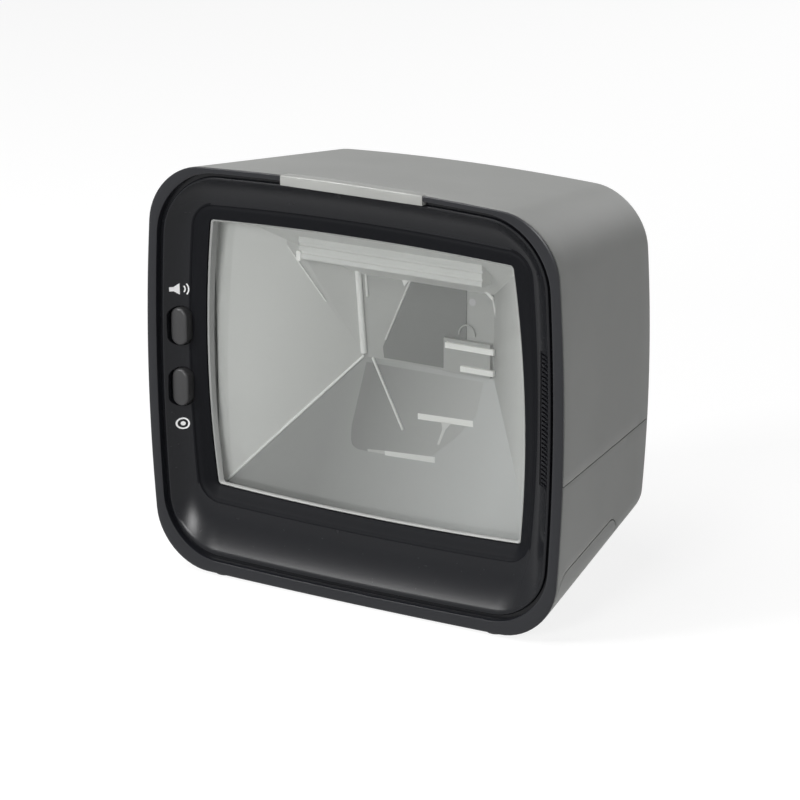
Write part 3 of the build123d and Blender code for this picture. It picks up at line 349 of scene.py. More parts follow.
def carve(piece, cutter, operation="DIFFERENCE"):
    """Cuts, joins or crosses a piece with a cutter, an object or a bmesh, which is used up."""
    if isinstance(cutter, bmesh.types.BMesh):
        cutter = loose("cutter", cutter)
    modifier = piece.modifiers.new("carve", "BOOLEAN")
    modifier.operation = operation
    modifier.solver = "EXACT"
    modifier.object = cutter
    bake_modifiers(piece)
    bpy.data.objects.remove(cutter)


def ease_edges(piece, width=EASE, segments=2, angle=50):
    """Rounds the piece's sharp edges by a small width."""
    modifier = piece.modifiers.new("ease", "BEVEL")
    modifier.width = width
    modifier.segments = segments
    modifier.limit_method = "ANGLE"
    modifier.angle_limit = math.radians(angle)
    modifier.use_clamp_overlap = True
    bake_modifiers(piece)


def round_edges(bm, edges, width, segments):
    """Rounds some edges of a bmesh."""
    bmesh.ops.bevel(bm, geom=edges, offset=width, affect="EDGES", segments=segments, profile=0.5,
                    material=-1)


def box_mesh(across, depths, heights, round_by=0.0, along=None, segments=4):
    """A box as a bmesh; the edges along one axis may be rounded."""
    bm = bmesh.new()
    bmesh.ops.create_cube(bm, size=1.0)
    low = Vector((across[0], y_at(depths[0]), heights[0]))
    high = Vector((across[1], y_at(depths[1]), heights[1]))
    bmesh.ops.scale(bm, vec=high - low, verts=bm.verts)
    bmesh.ops.translate(bm, vec=(low + high) / 2, verts=bm.verts)
    if round_by:
        round_edges(bm, [edge for edge in bm.edges if lies_along(edge, along)], round_by, segments)
    return bm


def lies_along(edge, axis):
    """True if an edge runs along an axis."""
    run = (edge.verts[1].co - edge.verts[0].co).normalized()
    return abs(run[axis]) > 0.9


def slot_mesh(x, z, width, height, depths, round_front=0.0):
    """An upright bar with round ends that runs in depth, as a bmesh."""
    radius = width / 2
    rise = height / 2 - radius
    bm = bmesh.new()
    bmesh.ops.create_cone(bm, cap_ends=True, segments=32, radius1=radius, radius2=radius,
                          depth=depths[1] - depths[0], matrix=Matrix.Rotation(math.pi / 2, 4, "X"))
    for vert in bm.verts:
        if abs(vert.co.z) > 1e-7:
            vert.co.z += math.copysign(rise, vert.co.z)
    bmesh.ops.translate(bm, vec=(x, y_at(sum(depths) / 2), z), verts=bm.verts)
    if round_front:
        front = y_at(depths[0])
        edges = [edge for edge in bm.edges if all(abs(vert.co.y - front) < 1e-7 for vert in edge.verts)]
        round_edges(bm, edges, round_front, 4)
    return bm


# ---------------------------------------------------------------- materials
def set_sockets(node, values):
    """Puts values on a node's sockets, by their names."""
    for socket, value in values.items():
        node.inputs[socket.replace("_", " ")].default_value = value
    return node


def add_node(tree, kind, **values):
    """A new shader node with values on its sockets."""
    return set_sockets(tree.nodes.new("ShaderNode" + kind), values)


def emptied(data):
    """The emptied node tree of a new material or world."""
    data.use_nodes = True
    data.node_tree.nodes.clear()
    return data.node_tree


def mix(tree, share, first, second):
    """The output of a mix of two shaders, by the output that gives the second one's share."""
    node = add_node(tree, "MixShader")
    for socket, source in (("Fac", share), (1, first), (2, second)):
        tree.links.new(source, node.inputs[socket])
    return node.outputs["Shader"]


def principled(name, tone, roughness, **values):
    """A node material whose Principled shader holds the plain values; returns its tree and shader."""
    material = bpy.data.materials.new(name)
    material.use_nodes = True
    tree = material.node_tree
    shader = tree.nodes["Principled BSDF"]
    set_sockets(shader, {"Base Color": (*tone, 1), "Roughness": roughness, **values})
    return material, tree, shader


def on_object(tree, node):
    """Lays a texture node's pattern on object coordinates."""
    place = add_node(tree, "TexCoord")
    tree.links.new(place.outputs["Object"], node.inputs["Vector"])
    return node


def noise(tree, scale, detail, roughness=0.5):
    """Noise on object coordinates."""
    return on_object(tree, add_node(tree, "TexNoise", Scale=scale, Detail=detail, Roughness=roughness))


def add_bump(tree, shader, source, strength, distance):
    """Bumps a shader's surface by a node's first output."""
    node = add_node(tree, "Bump", Strength=strength, Distance=distance)
    tree.links.new(source.outputs[0], node.inputs["Height"])
    tree.links.new(node.outputs["Normal"], shader.inputs["Normal"])


def add_tint(tree, shader, source, dark, light, ends=(0.35, 0.65)):
    """Varies a shader's colour between two tones by a node's first output."""
    ramp = add_node(tree, "ValToRGB")
    for element, end, tone in zip(ramp.color_ramp.elements, ends, (dark, light)):
        element.position = end
        element.color = (*tone, 1)
    tree.links.new(source.outputs[0], ramp.inputs["Fac"])
    tree.links.new(ramp.outputs["Color"], shader.inputs["Base Color"])


def add_roughness(tree, shader, source, low, high):
    """Varies a shader's roughness by a node's first output."""
    spread = add_node(tree, "MapRange", To_Min=low, To_Max=high)
    tree.links.new(source.outputs[0], spread.inputs["Value"])
    tree.links.new(spread.outputs["Result"], shader.inputs["Roughness"])


def shade(tone, factor):
    """A colour made darker or lighter."""
    return tuple(min(1.0, channel * factor) for channel in tone)


def moulded(name, tone, roughness, grain_size, grain_height, **values):
    """Moulded plastic: a fine grain, a faint cloud of tone and uneven gloss."""
    material, tree, shader = principled(name, tone, roughness, **values)
    cloud = noise(tree, 22.0, 3.0)
    grain = noise(tree, 1.0 / (grain_size * MM), 3.0, 0.6)
    add_tint(tree, shader, cloud, shade(tone, 0.96), shade(tone, 1.04))
    add_roughness(tree, shader, grain, roughness * 0.9, roughness * 1.12)
    add_bump(tree, shader, grain, 0.5, grain_height * MM)
    return material


def window_glass():
    """Clear glass that lets the lamps in and keeps its reflections."""
    material = bpy.data.materials.new("clear_window_glass")
    tree = emptied(material)
    clear = add_node(tree, "BsdfTransparent", Color=(0.965, 0.97, 0.965, 1))
    gloss = add_node(tree, "BsdfGlossy", Roughness=0.03)
    fresnel = add_node(tree, "Fresnel", IOR=1.45)
    output = add_node(tree, "OutputMaterial")
    tree.links.new(mix(tree, fresnel.outputs["Fac"], clear.outputs["BSDF"], gloss.outputs["BSDF"]),
                   output.inputs["Surface"])
    return material


def circuit_board():
    """Green solder mask with faint straight tracks."""
    tone = (0.02, 0.12, 0.05)
    material, tree, shader = principled("circuit_board", tone, 0.4, Coat_Weight=0.3)
    tracks = add_node(tree, "TexBrick", Scale=160.0, Mortar_Size=0.05, Color1=(*tone, 1),
                      Color2=(*shade(tone, 1.5), 1), Mortar=(*shade(tone, 2.4), 1))
    on_object(tree, tracks)
    tree.links.new(tracks.outputs["Color"], shader.inputs["Base Color"])
    return material


def metal(name, tone, roughness, grain):
    """Bare metal with a fine worn grain."""
    material, tree, shader = principled(name, tone, roughness, Metallic=1.0)
    worn = noise(tree, grain, 4.0)
    add_roughness(tree, shader, worn, roughness * 0.8, roughness * 1.3)
    add_bump(tree, shader, worn, 0.15, 0.05 * MM)
    return material


def graded(name, dark, light, across, roughness, metallic=0.0):
    """A hazy plate whose colour goes from one tone to another between two places (mm) across the object, as
    painted light and shade.
    """
    material, tree, shader = principled(name, shade(dark, 1.4), roughness, Metallic=metallic)
    haze = noise(tree, 60.0, 3.0)
    add_roughness(tree, shader, haze, roughness * 0.85, roughness * 1.2)
    start, end = (place * MM for place in across)
    scale = 1 / (end - start)
    turned = on_object(tree, add_node(tree, "Mapping", Location=(-start * scale, 0, 0), Scale=(scale, 1, 1)))
    spread = add_node(tree, "TexGradient")
    tree.links.new(turned.outputs["Vector"], spread.inputs["Vector"])
    # The ramp is painted light and shade across the plate
    add_tint(tree, shader, spread, dark, light, (0.0, 1.0))
    return material


FINISHES = {}


def make_finishes():
    """All materials, once, by name."""
    finish = settings("finish")
    tone = {name: tuple(getattr(finish, name)) for name in SCANNER_PG_finish.__annotations__}
    FINISHES.update(
        housing=moulded("matt_grey_housing", tone["housing"], 0.52, 0.35, 0.03),
        bezel=moulded("gloss_black_bezel", tone["bezel"], 0.26, 2.5, 0.004, Specular_IOR_Level=0.28),
        # Bead and band: the bezel's black made lighter as painted sheen and darker as painted shade, each
        # with its own gloss
        bead=moulded("satin_black_bead", shade(tone["bezel"], 1.5), 0.3, 0.5, 0.004,
                     Specular_IOR_Level=0.4),
        band=moulded("dull_black_band", shade(tone["bezel"], 0.8), 0.5, 0.5, 0.004,
                     Specular_IOR_Level=0.08),
        keys=moulded("satin_dark_keys", tone["keys"], 0.36, 0.4, 0.01),
        seal=moulded("light_window_frame", tone["seal"], 0.5, 0.5, 0.01),
        chamber=moulded("pale_chamber", tone["chamber"], 0.3, 0.5, 0.006),
        rear_wall=moulded("grey_rear_wall", tone["rear_wall"], 0.34, 0.5, 0.006),
        # The chamber's colour darkened as painted shade, for the left fold and a floor patch
        fold=moulded("dim_chamber", shade(tone["chamber"], 0.82), 0.3, 0.5, 0.006),
        rail=moulded("pale_rail", tone["rail"], 0.35, 0.5, 0.006),
        light_bar=moulded("milky_light_bar", tone["light_bar"], 0.3, 0.8, 0.006,
                          Subsurface_Weight=0.15, Subsurface_Radius=(MM, MM, MM)),
        ink=moulded("white_print", tone["ink"], 0.5, 0.3, 0.004),
        dark=moulded("black_moulding", (0.02, 0.02, 0.022), 0.45, 0.4, 0.015),
        rubber=moulded("soft_rubber", (0.018, 0.018, 0.018), 0.75, 0.3, 0.03),
        port=moulded("port_grey", (0.21, 0.215, 0.21), 0.5, 0.5, 0.01),
        # A faint glow; on a floor patch and the diffuser's end block it is a painted reflection and a painted
        # highlight
        strip=moulded("lit_strip", (0.88, 0.88, 0.86), 0.4, 0.5, 0.004,
                      Emission_Color=(1, 1, 0.98, 1), Emission_Strength=0.08),
        glass=window_glass(),
        board=circuit_board(),
        steel=metal("zinc_steel", (0.55, 0.55, 0.56), 0.32, 900.0),
        brass=metal("turned_brass", (0.7, 0.52, 0.25), 0.28, 700.0),
        # Painted reflection on the floor mirror: darker on the left, lighter on the right
        mirror=graded("mirror_plate", (0.3, 0.305, 0.3), (0.68, 0.69, 0.69), (-25, 40), 0.5, 0.1),
        # A painted dark patch on the floor mirror, graded lighter to the right
        floor_shade=graded("floor_shade", (0.24, 0.245, 0.24), (0.6, 0.605, 0.6), (-16, 32), 0.5, 0.1),
        # Painted shade on the right mirror, darker towards its inner edge
        right_wall=graded("pale_right_wall", (0.46, 0.465, 0.455), (0.84, 0.845, 0.83), (30, 47), 0.3),
        # Painted shade on the left wall, darker towards the chamber's back
        side_wall=graded("pale_side_wall", (0.88, 0.885, 0.87), (0.6, 0.605, 0.59), (-58, -22), 0.3),
    )


# ---------------------------------------------------------------- housing
# The bezel's pocket in the housing, the radius of the lip's front and the flat round the inner back
POCKET_DEPTH = 6 * MM
LIP_ROUND = 0.4 * MM
INNER_FLAT = 8 * MM
# The hump on the housing's back: its distance from the rear rim, its taper, corners and rounding
HUMP_INSET = 13 * MM
HUMP_TAPER = 9 * MM
HUMP_CORNER = 14 * MM
HUMP_ROUND = (4 * MM, 4.5 * MM)


def nose_rings(start, radius):
    """Rings round the front edge of the housing's outside, from a depth on."""
    rings = []
    for step in range(5):
        angle = math.pi / 2 * step / 4
        depth = start + radius * (1 - math.cos(angle))
        rings.append(body_outline(depth).inset(radius * (1 - math.sin(angle))).ring(depth))
    return rings


def rear_rings(step):
    """Rings round the housing's rear edge, for a skin drawn in by a step."""
    housing = settings("housing")
    radius = housing.rear_round - step
    rear = housing.rim_depth - step
    rings = []
    for index in range(8):
        angle = math.pi / 2 * index / 7
        depth = rear - radius * (1 - math.sin(angle))
        rings.append(body_outline(depth).inset(step + radius * (1 - math.cos(angle))).ring(depth))
    return rings


def hump_rings(rim):
    """Rings of the hump on the housing's back, from its foot to its flat top."""
    corners = {"top_corner": HUMP_CORNER, "low_corner": HUMP_CORNER}
    foot = replace(body_outline(rim).inset(HUMP_INSET), **corners)
    crown = replace(foot.inset(HUMP_TAPER), **corners)
    depth = HIGH.y - LOW.y
    rings = [foot.ring(rim - 0.01 * MM)]
    rings += [foot.toward(crown, share).ring(rim + (depth - rim) * share) for share in (0.04, 0.35, 0.74)]
    for step in range(1, 6):
        angle = math.pi / 2 * step / 5
        edge = foot.toward(crown, 0.76 + 0.24 * step / 5).inset(HUMP_ROUND[0] * (1 - math.cos(angle)))
        rings.append(edge.ring(depth - HUMP_ROUND[1] * (1 - math.sin(angle))))
    return rings


def housing_rings():
    """Rings of the hollow housing, from the inside of its back, round the lip, to its back."""
    housing = settings("housing")
    wall, rim, start = housing.wall, housing.rim_depth, housing.start
    rings = [body_outline(rim - wall).inset(wall + INNER_FLAT).ring(rim - wall)]
    rings += rear_rings(wall)[::-1]
    rings += [body_outline(depth).inset(wall).ring(depth) for depth in (0.5 * rim, 1.001 * POCKET_DEPTH)]
    rings += [bezel_outline(depth, 0).ring(depth) for depth in (POCKET_DEPTH, 0.5 * POCKET_DEPTH, start)]
    rings += nose_rings(start, LIP_ROUND)
    rings += [body_outline(share * rim).ring(share * rim) for share in (0.1, 0.3, 0.5, 0.7, 0.85)]
    return rings + rear_rings(0) + hump_rings(rim)


SKIRT_FRONT = 2 * MM
SKIRT_ROUND = 7 * MM


def skirt_cutter(grow):
    """The zone of the base cover's skirt as a cutter, grown by a gap."""
    housing = settings("housing")
    top = housing.skirt_top + grow
    zone = box_mesh((-WIDE, WIDE), (SKIRT_FRONT, housing.skirt_rear + grow), (-WIDE, top))
    for vert in zone.verts:
        if vert.co.z > 0 and vert.co.y < y_at(SKIRT_FRONT) + MM:
            vert.co.z -= housing.skirt_slope
    edges = [edge for edge in zone.edges if lies_along(edge, 0) and edge.verts[0].co.z > 0]
    round_edges(zone, edges, SKIRT_ROUND, 10)
    cutter = loose("skirt", zone)
    nose = box_mesh((-WIDE, WIDE), (-WIDE, SKIRT_FRONT + 0.01 * MM),
                    (-WIDE, top - housing.skirt_slope - SKIRT_ROUND))
    carve(cutter, nose, "UNION")
    return cutter


KEEL_HALF = 36 * MM
KEEL_DEPTHS = (7 * MM, 86 * MM)
KEEL_HEIGHTS = (1.2 * MM, 24 * MM)
KEEL_ROUND = 6 * MM
KEEL_WALL = 2.4 * MM
# How far the keel's walls reach into the belly
KEEL_LAP = 1.2 * MM
SOCKETS = ("host_socket", "aux_socket", "power_socket")
# Recesses in the base cover for the inserts and the feet, in mm: x, depth, height, radius
RECESSES = ((25, 20, 7.2, 2.8), (25, 46, 7.2, 2.8), (50.5, 5.6, 3, 4.05), (28, 78, 2.4, 4.05))


def keel_block(step):
    """The keel's rounded block, drawn in by a step."""
    half = KEEL_HALF - step
    depths, heights = ((start + step, end - step) for start, end in (KEEL_DEPTHS, KEEL_HEIGHTS))
    return box_mesh((-half, half), depths, heights, KEEL_ROUND - step, 2, 8)


def filled_rings(step):
    """Rings of the housing, filled and drawn in by a step, for cutting what stands under it."""
    depths = (step, 24 * MM, 48 * MM, 73 * MM)
    return [body_outline(depth).inset(step).ring(depth) for depth in depths] + rear_rings(step)[1:]


LIGHT_BAR_X = 1.5 * MM
LIGHT_BAR_HALF = 25.4 * MM
LIGHT_BAR_LOW = 133.4 * MM
LIGHT_BAR_REACH = 4.8 * MM
# The rib behind the light bar and the root that joins them
RIB_HALF = 22 * MM
RIB_DEPTHS = (4 * MM, 11.8 * MM)
RIB_HEIGHTS = (131.7 * MM, 132.5 * MM)
ROOT_DEPTHS = (3.3 * MM, LIGHT_BAR_REACH)
ROOT_HEIGHTS = (132 * MM, 133.55 * MM)


def light_bar_zone(gap):
    """The light bar's place as a box, grown by a gap."""
    across = (LIGHT_BAR_X - LIGHT_BAR_HALF - gap, LIGHT_BAR_X + LIGHT_BAR_HALF + gap)
    return box_mesh(across, (-5 * gap, LIGHT_BAR_REACH + gap), (LIGHT_BAR_LOW - gap, 150 * MM))


class SCANNER_OT_housing(bpy.types.Operator):
    """Builds the upper shell, the lower shell and the base cover with its keel"""

    bl_idname = "scanner.housing"
    bl_label = "Housing"

    def execute(self, context):
        housing = settings("housing")
        rings = housing_rings()
        seam, gap = housing.seam, housing.seam_gap
        below = box_mesh((-WIDE, WIDE), (-WIDE, WIDE), (-WIDE, seam))
        above = box_mesh((-WIDE, WIDE), (-WIDE, WIDE), (seam - gap, WIDE))
        self.shell("upper_shell", rings, (below, light_bar_zone(FIT)), "housing_upper")
        self.shell("lower_shell", rings, (above, skirt_cutter(gap), keel_block(-FIT)), "housing_lower")
        self.base_cover(rings)
        return {"FINISHED"}

    def shell(self, name, rings, cutters, node):
        """What the cutters leave of the housing."""
        piece = loose(name, skin(rings, False))
        for cutter in cutters:
            carve(piece, cutter)
        ease_edges(piece)
        dress(piece, "housing", [node])

    def base_cover(self, rings):
        """The skirt and the keel in one piece, with its sockets' openings and its recesses."""
        cover = loose("base_cover_shell", skin(rings, False))
        carve(cover, skirt_cutter(0), "INTERSECT")
        keel = loose("keel", keel_block(0))
        carve(keel, keel_block(KEEL_WALL))
        carve(keel, skin(filled_rings(KEEL_LAP), False))
        carve(cover, keel, "UNION")
        carve(cover, keel_block(KEEL_WALL))
        for name in SOCKETS:
            low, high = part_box(name)
            carve(cover, box_mesh((low[0] - FIT, high[0] + FIT), (low[1] - LOW.y, high[1] - LOW.y + MM),
                                  (low[2] - FIT, high[2] + FIT)))
        for side in (-1, 1):
            for recess in RECESSES:
                x, depth, height, radius = (value * MM for value in recess)
                hole = bmesh.new()
                bmesh.ops.create_cone(hole, cap_ends=True, segments=40, radius1=radius, radius2=radius,
                                      depth=2 * height, matrix=Matrix.Translation((side * x, y_at(depth), 0)))
                carve(cover, hole)
        ease_edges(cover)
        dress(cover, "housing", ["base_cover"])


class SCANNER_OT_light_bar(bpy.types.Operator):
    """Builds the milky bar that wraps over the top edge"""

    bl_idname = "scanner.light_bar"
    bl_label = "Light bar"

    def execute(self, context):
        rings = nose_rings(0, 0.6 * MM) + [body_outline(depth).ring(depth) for depth in (10 * MM, 20 * MM)]
        bar = loose("top_light_bar", skin(rings, False))
        carve(bar, light_bar_zone(0), "INTERSECT")
        across = (LIGHT_BAR_X - RIB_HALF, LIGHT_BAR_X + RIB_HALF)
        rib = loose("rib", box_mesh(across, RIB_DEPTHS, RIB_HEIGHTS))
        carve(rib, box_mesh(across, ROOT_DEPTHS, ROOT_HEIGHTS), "UNION")
        carve(bar, rib, "UNION")
        ease_edges(bar, 0.25 * MM, 3)
        dress(bar, "light_bar", ["indicator_lens"])
        return {"FINISHED"}


# ---------------------------------------------------------------- bezel
# The groove's middle, the inner step and the window opening, seen from the front
GROOVE = mm_outline(71.6, 5.2, 134.3, 2.8, 2.3, 1.2, 19.8, 17.9)
STEP = mm_outline(63.3, 21.9, 123.5, 2.7, 2.0, 1.2, 7.0, 7.0)
OPENING = mm_outline(58.3, 26.4, 118.6, 2.8, 1.4, 1.4, 1.2, 1.2)
# The bead's section: how square it is, and its fall on the inside as a share of that outside
BEAD_POWER = 2.3
BEAD_INSIDE = 0.85
# The face's edge at the groove, in mm: inset and depth
FACE_EDGE = ((0.0, 0.55), (0.12, 0.25), (0.4, 0.06), (0.8, 0.1))
FACE_POWER = 1.7
# The band from the step to the opening: share of the way and share of the drop
BAND = ((0.05, 0.2), (0.11, 0.28), (0.2, 0.26), (0.3, 0.3), (0.42, 0.42), (0.6, 0.66), (0.8, 0.86),
        (0.95, 0.97))


def opening_ring(outline, depth, share=1.0):
    """A ring that leans and tapers with the window opening, wholly or in part."""
    bezel = settings("bezel")
    return outline.ring(depth, bezel.opening_lean * share, bezel.opening_taper * share)


def bead_rings(shoulder):
    """Rings over the bead, from the rim to its shoulder at the groove."""
    rise = settings("bezel").bead_rise
    rings = []
    for step in range(13):
        share = step / 12
        fall = 1 - (1 - abs(2 * share - 1) ** BEAD_POWER) ** (1 / BEAD_POWER)
        depth = 0.05 * MM + fall * (rise if share < 0.5 else BEAD_INSIDE * rise)
        outer = body_outline(depth).inset(0.02 * MM)
        rings.append(outer.toward(shoulder, 0.5 - 0.5 * math.cos(math.pi * share)).ring(depth))
    return rings


def face_rings(edge):
    """Rings of the dished face, from the groove over the inner step to the window opening."""
    bezel = settings("bezel")
    groove, drop = bezel.groove_depth, bezel.opening_depth - bezel.step_depth
    rings = [edge.inset(inset * MM).ring(groove + depth * MM) for inset, depth in FACE_EDGE]
    inset, depth = (value * MM for value in FACE_EDGE[-1])
    inner, start = edge.inset(inset), groove + depth
    for step in range(1, 15):
        share = step / 14
        fall = 1 - (1 - share) ** FACE_POWER
        rings.append(inner.toward(STEP, share).ring(start + (bezel.step_depth - start) * fall))
    return rings + [opening_ring(STEP.toward(OPENING, share), bezel.step_depth + drop * fall, share)
                    for share, fall in BAND]


def bezel_rings():
    """Rings of the dished bezel: its rim, its bead, its face to the window, and its back."""
    bezel = settings("bezel")
    rear = POCKET_DEPTH - FIT
    flange = settings("housing").start - 0.1 * MM
    half = bezel.groove_width / 2
    rings = [bezel_outline(depth, FIT).ring(depth) for depth in (rear, (rear + flange) / 2, flange)]
    shoulder, edge = GROOVE.inset(-half), GROOVE.inset(half)
    floor = bezel.groove_depth + bezel.groove_cut
    rings += bead_rings(shoulder)
    rings += [shoulder.inset(0.1 * MM).ring(floor), GROOVE.inset(half - 0.1 * MM).ring(floor)]
    rings += face_rings(edge)
    front, back = bezel.opening_depth, bezel.back
    lining = OPENING.inset(-0.05 * MM)
    rings += [opening_ring(OPENING, front + 0.1 * MM), opening_ring(lining, front + 0.4 * MM),
              lining.ring(back), OPENING.inset(-2 * MM).ring(back),
              OPENING.inset(-2.2 * MM).ring(back - 1.5 * MM),
              STEP.inset(-1 * MM).ring(bezel.step_depth + 2.2 * MM), GROOVE.toward(STEP, 0.47).ring(7.2 * MM)]
    rings += [bezel_outline(depth, FIT).inset(1.3 * MM).ring(depth) for depth in (4.2 * MM, rear)]
    return rings + rings[:1]


def within(ring, x, z):
    """True if a place lies inside a ring, seen from the front."""
    inside = False
    for a, b in zip(ring, ring[1:] + ring[:1]):
        if (a.z > z) != (b.z > z) and x < a.x + (b.x - a.x) * (z - a.z) / (b.z - a.z):
            inside = not inside
    return inside


# Past the bezel's back, for what cuts through it
THROUGH = 13 * MM
BUTTON_X = -65.95 * MM
BUTTON_ZS = {"volume": 80.9 * MM, "tone": 60.6 * MM}
BUTTON_WIDTH = 6.2 * MM
BUTTON_HEIGHT = 12.5 * MM
BUTTON_DEPTHS = (3.4 * MM, 9.65 * MM)
BUTTON_GAP = 0.7 * MM
BUTTON_ROUND = 0.9 * MM
COLLAR = 1 * MM
GRILLE_X = 67.3 * MM
GRILLE_HALF = 2.3 * MM
GRILLE_HEIGHTS = (50.3 * MM, 92.3 * MM)
GRILLE_SINK = 0.25 * MM
GRILLE_ROWS = 30
GRILLE_MARGIN = 0.4 * MM
SLIT_HALF = 0.3 * MM


def grille_zone(gap):
    """The grille's place as a box, grown by a gap."""
    return box_mesh((GRILLE_X - GRILLE_HALF - gap, GRILLE_X + GRILLE_HALF + gap), (0, THROUGH),
                    (GRILLE_HEIGHTS[0] - gap, GRILLE_HEIGHTS[1] + gap))


class SCANNER_OT_bezel(bpy.types.Operator):
    """Builds the black dished bezel with its slots"""

    bl_idname = "scanner.bezel"
    bl_label = "Bezel"

    def execute(self, context):
        piece = loose("dished_bezel", skin(bezel_rings(), True))
        for z in BUTTON_ZS.values():
            carve(piece, slot_mesh(BUTTON_X, z, BUTTON_WIDTH + BUTTON_GAP, BUTTON_HEIGHT + BUTTON_GAP,
                                   (0, THROUGH)))
        carve(piece, grille_zone(FIT))
        carve(piece, light_bar_zone(FIT))
        dress(piece, "bezel", ["front_bezel"])
        self.bead_sheen_and_band_shade(piece)
        return {"FINISHED"}

    def bead_sheen_and_band_shade(self, piece):
        """A satin bead round the rim in a lighter black as painted sheen, and a dull band round the window in
        a darker black as painted shade.
        """
        piece.data.materials.append(FINISHES["bead"])
        piece.data.materials.append(FINISHES["band"])
        groove, step = GROOVE.ring(0), STEP.inset(-0.3 * MM).ring(0)
        for face in piece.data.polygons:
            x, y, z = face.center
            if y < y_at(2 * MM) and not within(groove, x, z):
                face.material_index = 1
            elif y > y_at(5.9 * MM) and within(step, x, z):
                face.material_index = 2


class SCANNER_OT_grille(bpy.types.Operator):
    """Builds the slotted strip over the speaker, bent to the bezel's face"""

    bl_idname = "scanner.grille"
    bl_label = "Speaker grille"

    def execute(self, context):
        strip = loose("speaker_strip", skin(bezel_rings(), True))
        carve(strip, grille_zone(0), "INTERSECT")
        strip.data.transform(Matrix.Translation((0, GRILLE_SINK, 0)))
        cutters = bmesh.new()
        low, high = GRILLE_HEIGHTS
        pitch = (high - low) / GRILLE_ROWS
        reach = GRILLE_HALF - GRILLE_MARGIN
        for row in range(GRILLE_ROWS):
            z = low + pitch * (row + 0.5)
            add_part(cutters, box_mesh((GRILLE_X - reach, GRILLE_X + reach), (0, THROUGH - MM),
                                       (z - SLIT_HALF, z + SLIT_HALF)))
        carve(strip, cutters)
        dress(strip, "bezel", ["speaker_grille"])
        return {"FINISHED"}


class SCANNER_OT_window(bpy.types.Operator):
    """Builds the light frame inside the opening and the glass behind it"""

    bl_idname = "scanner.window"
    bl_label = "Window"

    def execute(self, context):
        bezel = settings("bezel")
        outer, lining = OPENING.inset(-1.4 * MM), OPENING.inset(0.1 * MM)
        inner = OPENING.inset(bezel.seal_lip)
        edge, front, back = bezel.opening_depth + 0.5 * MM, bezel.back + 0.01 * MM, bezel.back + 0.6 * MM
        rings = [outer.ring(back), outer.ring(front), lining.ring(front),
                 opening_ring(lining, edge + 0.2 * MM), opening_ring(lining.inset(0.25 * MM), edge),
                 opening_ring(inner.inset(-0.3 * MM), edge + 0.05 * MM), opening_ring(inner, edge + 0.4 * MM),
                 inner.ring(back), outer.ring(back)]
        finish_piece("window_frame", skin(rings, True), "seal", ["window_seal"])
        eased = outer.inset(0.3 * MM)
        rings = [outline.ring(back + depth * MM)
                 for outline, depth in ((eased, 0), (outer, 0.3), (outer, 2.2), (eased, 2.5))]
        finish_piece("window_pane", skin(rings, False), "glass", ["window_glass"])
        return {"FINISHED"}


class SCANNER_OT_buttons(bpy.types.Operator):
    """Builds the two oval buttons with their collars"""

    bl_idname = "scanner.buttons"
    bl_label = "Buttons"

    def execute(self, context):
        front, back = BUTTON_DEPTHS
        for name, z in BUTTON_ZS.items():
            cap = loose(name + "_cap", slot_mesh(BUTTON_X, z, BUTTON_WIDTH, BUTTON_HEIGHT, (front, back),
                                                 BUTTON_ROUND))
            carve(cap, slot_mesh(BUTTON_X, z, BUTTON_WIDTH + COLLAR, BUTTON_HEIGHT + COLLAR,
                                 (back - COLLAR, back)), "UNION")
            dress(cap, "keys", [name + "_button"], name + "_key")
        return {"FINISHED"}


def arc_band(x, z, radius, width, reach):
    """A band along an arc that opens to the right, reaching some degrees each way."""
    steps = 20
    angles = [math.radians(reach * (2 * step / steps - 1)) for step in range(steps + 1)]
    outer, inner = ([(x + edge * math.cos(angle), z + edge * math.sin(angle)) for angle in angles]
                    for edge in (radius + width / 2, radius - width / 2))
    return outer + inner[::-1]


# Each sign's place and outlines, in mm: a loudspeaker with two waves, and a ring with a dot in it
HORN = [(-2.2, -0.7), (-1.2, -0.7), (0.3, -1.9), (0.3, 1.9), (-1.2, 0.7), (-2.2, 0.7)]
SIGNS = {
    "volume_sign": (-66.3, 93.1, [HORN] + [arc_band(0.3, 0, radius, 0.42, 42) for radius in (1.5, 2.6)]),
    "tone_sign": (-65.9, 48.2, [arc_band(0, 0, 1.7, 0.5, 180), arc_band(0, 0, 0.35, 0.7, 180)]),
}
INK_SINK = 0.02 * MM
INK_THICK = 0.06 * MM


class SCANNER_OT_signs(bpy.types.Operator):
    """Prints a plain sign by each button on the bezel's face"""

    bl_idname = "scanner.signs"
    bl_label = "Signs"

    def execute(self, context):
        face = bpy.data.objects["dished_bezel"]
        tree = BVHTree.FromObject(face, context.evaluated_depsgraph_get())
        for name, (x, z, outlines) in SIGNS.items():
            bm = bmesh.new()
            for outline in outlines:
                verts = [bm.verts.new(((x + a) * MM, LOW.y - 5 * MM, (z + b) * MM)) for a, b in outline]
                edges = [bm.edges.new(pair) for pair in zip(verts, verts[1:] + verts[:1])]
                bmesh.ops.triangle_fill(bm, use_beauty=True, edges=edges)
            for vert in bm.verts:
                vert.co.y = tree.ray_cast(vert.co, Vector((0, 1, 0)))[0].y - INK_SINK
            if sum(f.normal.y for f in bm.faces) > 0:
                bmesh.ops.reverse_faces(bm, faces=bm.faces)
            bmesh.ops.remove_doubles(bm, verts=bm.verts, dist=1e-6)
            bm.normal_update()
            bmesh.ops.solidify(bm, geom=list(bm.faces), thickness=INK_THICK)
            bmesh.ops.recalc_face_normals(bm, faces=bm.faces)
            finish_piece(name, bm, "ink")
        return {"FINISHED"}


# ---------------------------------------------------------------- chamber
def at(x, depth, height):
    """A place given in millimetres across, behind the front and above the counter."""
    return Vector((x * MM, y_at(depth * MM), height * MM))


